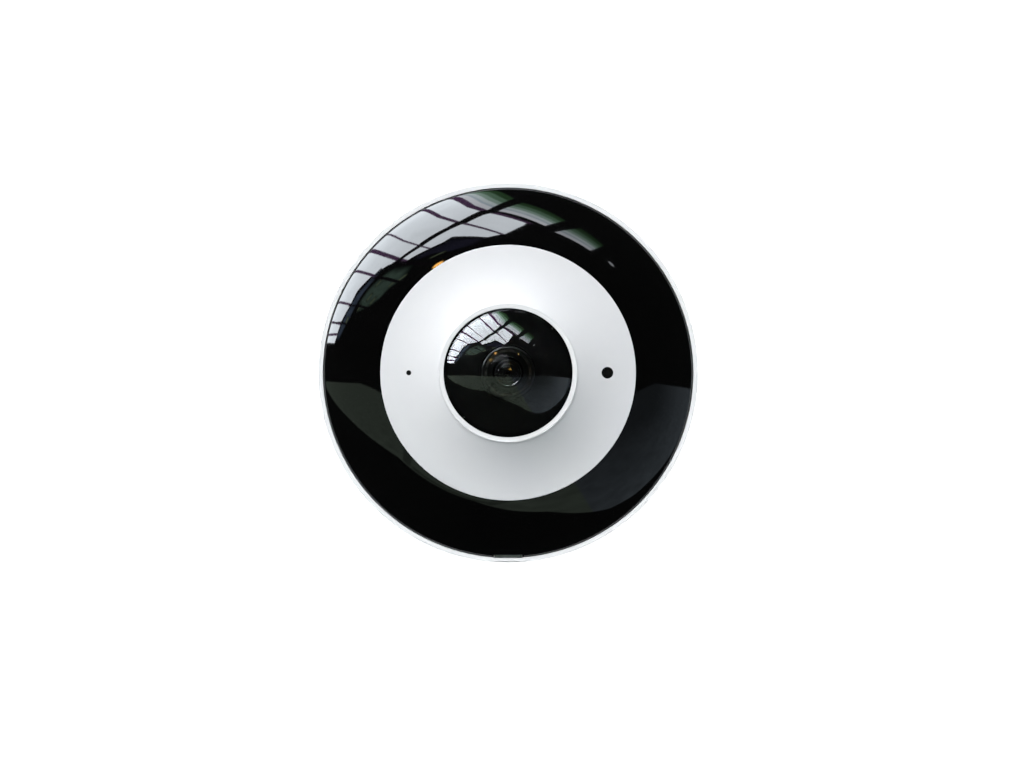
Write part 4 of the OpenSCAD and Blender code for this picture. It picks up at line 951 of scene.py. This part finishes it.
def pane(right, left, low_line, high_line, low_gap=0.0, high_gap=0.0):
    """Corners of the glass between two bars and two lines."""
    up = side(left, 1, low_line, high_line, low_gap, high_gap)
    down = side(right, -1, low_line, high_line, low_gap, high_gap)[::-1]
    over = between(high_line, up[-1].x, down[0].x, -high_gap)
    under = between(low_line, up[0].x, down[-1].x, low_gap)
    return up + over + down + under[::-1]


def bar_face(bar, low_line, high_line, low_gap=0.0, high_gap=0.0):
    """Corners of the dim face of one bar between two lines."""
    right, left = (side(bar, sign, low_line, high_line, low_gap, high_gap) for sign in (1, -1))
    return right + left[::-1]


def strip(left, right, start, end):
    """Corners of the part between two lines of points, from one share of the way to another."""
    first, second = ([Vector(a).lerp(Vector(b), share) for a, b in zip(left, right)]
                     for share in (start, end))
    return first + second[::-1]


def card_light(name, colour, strength, patchy):
    """Light that is a little uneven, times the level that the card's points carry."""
    material = bpy.data.materials.new(name)
    material.use_nodes = True
    tree = material.node_tree
    tree.nodes.clear()
    place = add(tree, "ShaderNodeTexCoord")
    noise = add(tree, "ShaderNodeTexNoise",
                {"Scale": 4.0 / ROOM_H, "Detail": 5.0, "Distortion": 0.6})
    level = add(tree, "ShaderNodeAttribute", attribute_name="level")
    light = add(tree, "ShaderNodeEmission", {"Color": (*colour, 1)})
    end = add(tree, "ShaderNodeOutputMaterial")
    tree.links.new(place.outputs["Object"], noise.inputs["Vector"])
    low, high = strength * (1 - patchy), strength * (1 + patchy)
    uneven = spread(tree, noise.outputs["Fac"], low, high)
    tree.links.new(scaled(tree, uneven, level.outputs["Fac"]), light.inputs["Strength"])
    tree.links.new(light.outputs[0], end.inputs["Surface"])
    return material


def finely_cut(mesh):
    """Cuts a card into small triangles, so that its light can change across it."""
    shape = bmesh.new()
    shape.from_mesh(mesh)
    bmesh.ops.triangulate(shape, faces=shape.faces[:])
    bmesh.ops.subdivide_edges(shape, edges=shape.edges[:], cuts=15, use_grid_fill=True)
    shape.to_mesh(mesh)
    shape.free()


def glow(name, corners, colour, strength, patchy=0.12, soft=0.0, level_at=None):
    """A lit card that only gloss and glass show.

    The share soft of it fades to nothing round its edge, or level_at says how bright each place is.
    """
    count = len(corners)
    corners = [Vector(corner) for corner in corners]
    middle = sum(corners, Vector()) / count
    points = [middle.lerp(corner, 1 - soft) for corner in corners]
    faces = [tuple(range(count))]
    if soft:
        points += corners
        following = [(i + 1) % count for i in range(count)]
        faces += [(i, k, count + k, count + i) for i, k in enumerate(following)]
    mesh = bpy.data.meshes.new(name)
    mesh.from_pydata(points, [], faces)
    levels = [1.0] * count + [0.0] * (len(points) - count)
    if level_at:
        finely_cut(mesh)
        levels = [level_at(vertex.co) for vertex in mesh.vertices]
    mesh.attributes.new("level", "FLOAT", "POINT").data.foreach_set("value", levels)
    mesh.materials.append(card_light(name, colour, strength, patchy))
    card = bpy.data.objects.new(name, mesh)
    bpy.context.scene.collection.objects.link(card)
    card.visible_camera = False
    card.visible_diffuse = False
    card.visible_shadow = False


def on_wall(name, shares, colour, strength, way=1, near=1.0, **light):
    """A lit card on the plane ahead of +Y, or behind -Y where way is -1.

    Where near is below 1, the card is in front of the others.
    """
    size = ROOM_H * near
    glow(name, [(x * size, way * size, z * size) for x, z in shares], colour, strength, **light)


def make_roof():
    """Panes between the glazing bars, in two rows with a beam between them, and what fades."""
    bars = [(points, width / 2) for width, points in BARS]
    for k, (right, left) in enumerate(zip(bars, bars[1:]), 1):
        top = BEAM_LINE if k <= BEAM_PANES else INNER_LINE
        corners = pane(right, left, FOOT_LINE, top, 0, BEAM_WIDTH)
        on_wall("pane_%d" % k, corners, PANE_COLOUR, PANE_STRENGTH)
        if k <= BEAM_PANES:
            corners = pane(right, left, BEAM_LINE, UPPER_LINE, BEAM_WIDTH)
            on_wall("upper_pane_%d" % k, corners, PANE_COLOUR, PANE_STRENGTH)
    for k, bar in enumerate(bars[:-1]):
        top = BEAM_LINE if k <= BEAM_PANES + 1 else INNER_LINE
        corners = bar_face(bar, FOOT_LINE, top, 0, BEAM_WIDTH)
        on_wall("bar_%d" % k, corners, BAR_COLOUR, BAR_STRENGTH)
        if k <= BEAM_PANES:
            corners = bar_face(bar, BEAM_LINE, UPPER_LINE, BEAM_WIDTH)
            on_wall("upper_bar_%d" % k, corners, BAR_COLOUR, BAR_STRENGTH)
    bar_side = side(bars[0], 1, FOOT_LINE, BEAM_LINE, 0, BEAM_WIDTH)
    fade_side = side((FADE_LINE, 0), -1, FOOT_LINE, BEAM_LINE, 0, BEAM_WIDTH)
    for i, (start, end, share, colour) in enumerate(STRIPS):
        strength = PANE_STRENGTH * share
        on_wall("fading_pane_%d" % i, strip(bar_side, fade_side, start, end), colour, strength)
        for j, (bright, inner, outer) in enumerate(PATCHES):
            corners = strip(inner, outer, start, end)
            on_wall("patch_%d_%d" % (j, i), corners, colour, strength * bright)


def make_dim_wall():
    """The dim haze and greenery beyond the glazing, with streaks of light and dark bars."""
    for name, shares, colour, strength in DIM_PARTS:
        on_wall(name, shares, colour, strength, patchy=DIM_PATCHY, soft=DIM_SOFT)
    for i, (x, z, half, strength) in enumerate(STREAKS):
        rise = half / 4
        corners = [(x - half, z - rise), (x + half, z - rise), (x + half, z + rise),
                   (x - half, z + rise)]
        on_wall("streak_%d" % i, corners, STREAK_COLOUR, strength, near=STREAKS_NEAR,
                soft=STREAK_SOFT)
    for i, line in enumerate(DIM_BARS):
        half = 0.025 - 0.012 * line[0][0]  # wider to the left, where the gloss squeezes them
        right = [(x - half, z - half) for x, z in line]
        left = [(x + half, z + half) for x, z in reversed(line)]
        on_wall("dim_bar_%d" % i, right + left, BAR_COLOUR, DIM_BAR_STRENGTH, near=DIM_BARS_NEAR)


def make_lamps():
    """Small lamps in the room, most of them warm."""
    for i, (tilt, azimuth, radius, strength, colour) in enumerate(LAMPS):
        tilt, azimuth, radius = (math.radians(angle) for angle in (tilt, azimuth, radius))
        out = math.sin(tilt)
        towards = Vector((out * math.cos(azimuth), out * math.sin(azimuth), math.cos(tilt)))
        across = towards.cross((0, 0, 1)).normalized()
        up = across.cross(towards)
        turns = [TURN * k / LAMP_SIDES for k in range(LAMP_SIDES)]
        rim = [(across * math.cos(a) + up * math.sin(a)) * math.tan(radius) for a in turns]
        corners = [(towards + offset) * ROOM_H for offset in rim]
        glow("lamp_%d" % i, corners, colour, strength, soft=LAMP_SOFT)


def ground_level(place):
    """How bright the ground is towards a place: dimmer to the right and higher up."""
    rise = max(0.0, math.atan2(place.z, math.hypot(place.x, place.y)))
    aside = min(1.0, max(0.0, place.x) / ROOM_H / GROUND_DIM_FROM)
    return max(GROUND_LOWEST, 1 - GROUND_DIMMING * rise * aside)


def make_ground():
    """The lit ground towards -Y, greener on the left and bluer on the right, with marks."""
    for i, (shares, colour, strength) in enumerate(GROUND_PARTS):
        on_wall("ground_%d" % i, shares, colour, strength, -1, patchy=GROUND_PATCHY,
                level_at=ground_level)
    for i, shares in enumerate(GROUND_MARKS):
        on_wall("mark_%d" % i, shares, MARK_COLOUR, MARK_STRENGTH, -1, near=MARKS_NEAR,
                patchy=MARK_PATCHY)


def make_lamp(name, place, size, energy, colour, reaches, skips=()):
    """A soft light for matt surfaces, aimed at the object. It may reach or skip some pieces."""
    data = bpy.data.lights.new(name, "AREA")
    data.shape = "RECTANGLE"
    data.size, data.size_y = size
    data.energy = energy
    data.color = colour
    lamp = bpy.data.objects.new(name, data)
    lamp.location = place
    lamp.rotation_mode = "QUATERNION"
    lamp.rotation_quaternion = (-Vector(place)).to_track_quat("-Z", "Y")
    lamp.visible_camera = False
    not_mirrored(lamp)
    bpy.context.scene.collection.objects.link(lamp)
    group = bpy.data.collections.new(name + "_pieces")
    for piece in (*reaches, *skips):
        group.objects.link(piece)
    for k in range(len(skips)):
        linking = group.collection_objects[len(reaches) + k].light_linking
        linking.link_state = "EXCLUDE"
    lamp.light_linking.receiver_collection = group


def make_lights(rim_pieces, sides):
    """Light through the roof, from above for the flat white edges, and for the back (metres, W)."""
    make_lamp("roof_light", (-0.8, 1.75, 1.6), (2.4, 1.4), 81.0, (0.985, 0.985, 1.01), (),
              (*rim_pieces, *sides))
    make_lamp("rim_light", (0.0, -0.2, 2.2), (1.2, 1.2), 42.0, (0.98, 0.99, 1.0), rim_pieces)
    make_lamp("back_light", (0.5, -0.9, -1.8), (1.2, 1.2), 40.0, (1.0, 1.0, 1.0), sides)


def make_world():
    """Pale for the camera, a soft fill for matt surfaces and a dark room for gloss."""
    world = bpy.data.worlds.new("room")
    world.use_nodes = True
    tree = world.node_tree
    tree.nodes.clear()
    ray = add(tree, "ShaderNodeLightPath")
    fill, dark, pale = (
        add(tree, "ShaderNodeBackground", {"Color": (*colour, 1), "Strength": strength})
        for colour, strength in (((0.88, 0.99, 1.03), 0.27), ((0.9, 0.95, 1.0), 0.02),
                                 ((1, 1, 1), PALE_LEVEL)))
    either = add(tree, "ShaderNodeMath", operation="MAXIMUM")
    gloss = add(tree, "ShaderNodeMixShader")
    seen = add(tree, "ShaderNodeMixShader")
    end = add(tree, "ShaderNodeOutputWorld")
    for source, target in (
            (ray.outputs["Is Glossy Ray"], either.inputs[0]),
            (ray.outputs["Is Transmission Ray"], either.inputs[1]),
            (either.outputs[0], gloss.inputs["Fac"]),
            (fill.outputs[0], gloss.inputs[1]),
            (dark.outputs[0], gloss.inputs[2]),
            (ray.outputs["Is Camera Ray"], seen.inputs["Fac"]),
            (gloss.outputs[0], seen.inputs[1]),
            (pale.outputs[0], seen.inputs[2]),
            (seen.outputs[0], end.inputs["Surface"])):
        tree.links.new(source, target)
    bpy.context.scene.world = world


make_camera()
dress_nodes()
make_front_cover()
make_window()
make_dome()
make_dome_shield_painted_shade()
make_lens_rings()
make_lens_seal()
make_tab_spring()
make_mic_mesh_painted_shade()
make_lens_stop()
trim_edge = make_trim_edge()
lip_edge = make_lip_edge()
make_floor()
make_roof()
make_dim_wall()
make_lamps()
make_ground()
nodes = frame["nodes"]
make_lights((trim_edge, lip_edge, nodes["trim_ring"]),
            (nodes["rear_housing"], nodes["mounting_plate"]))
make_world()
bpy.context.scene.view_settings.view_transform = "Standard"
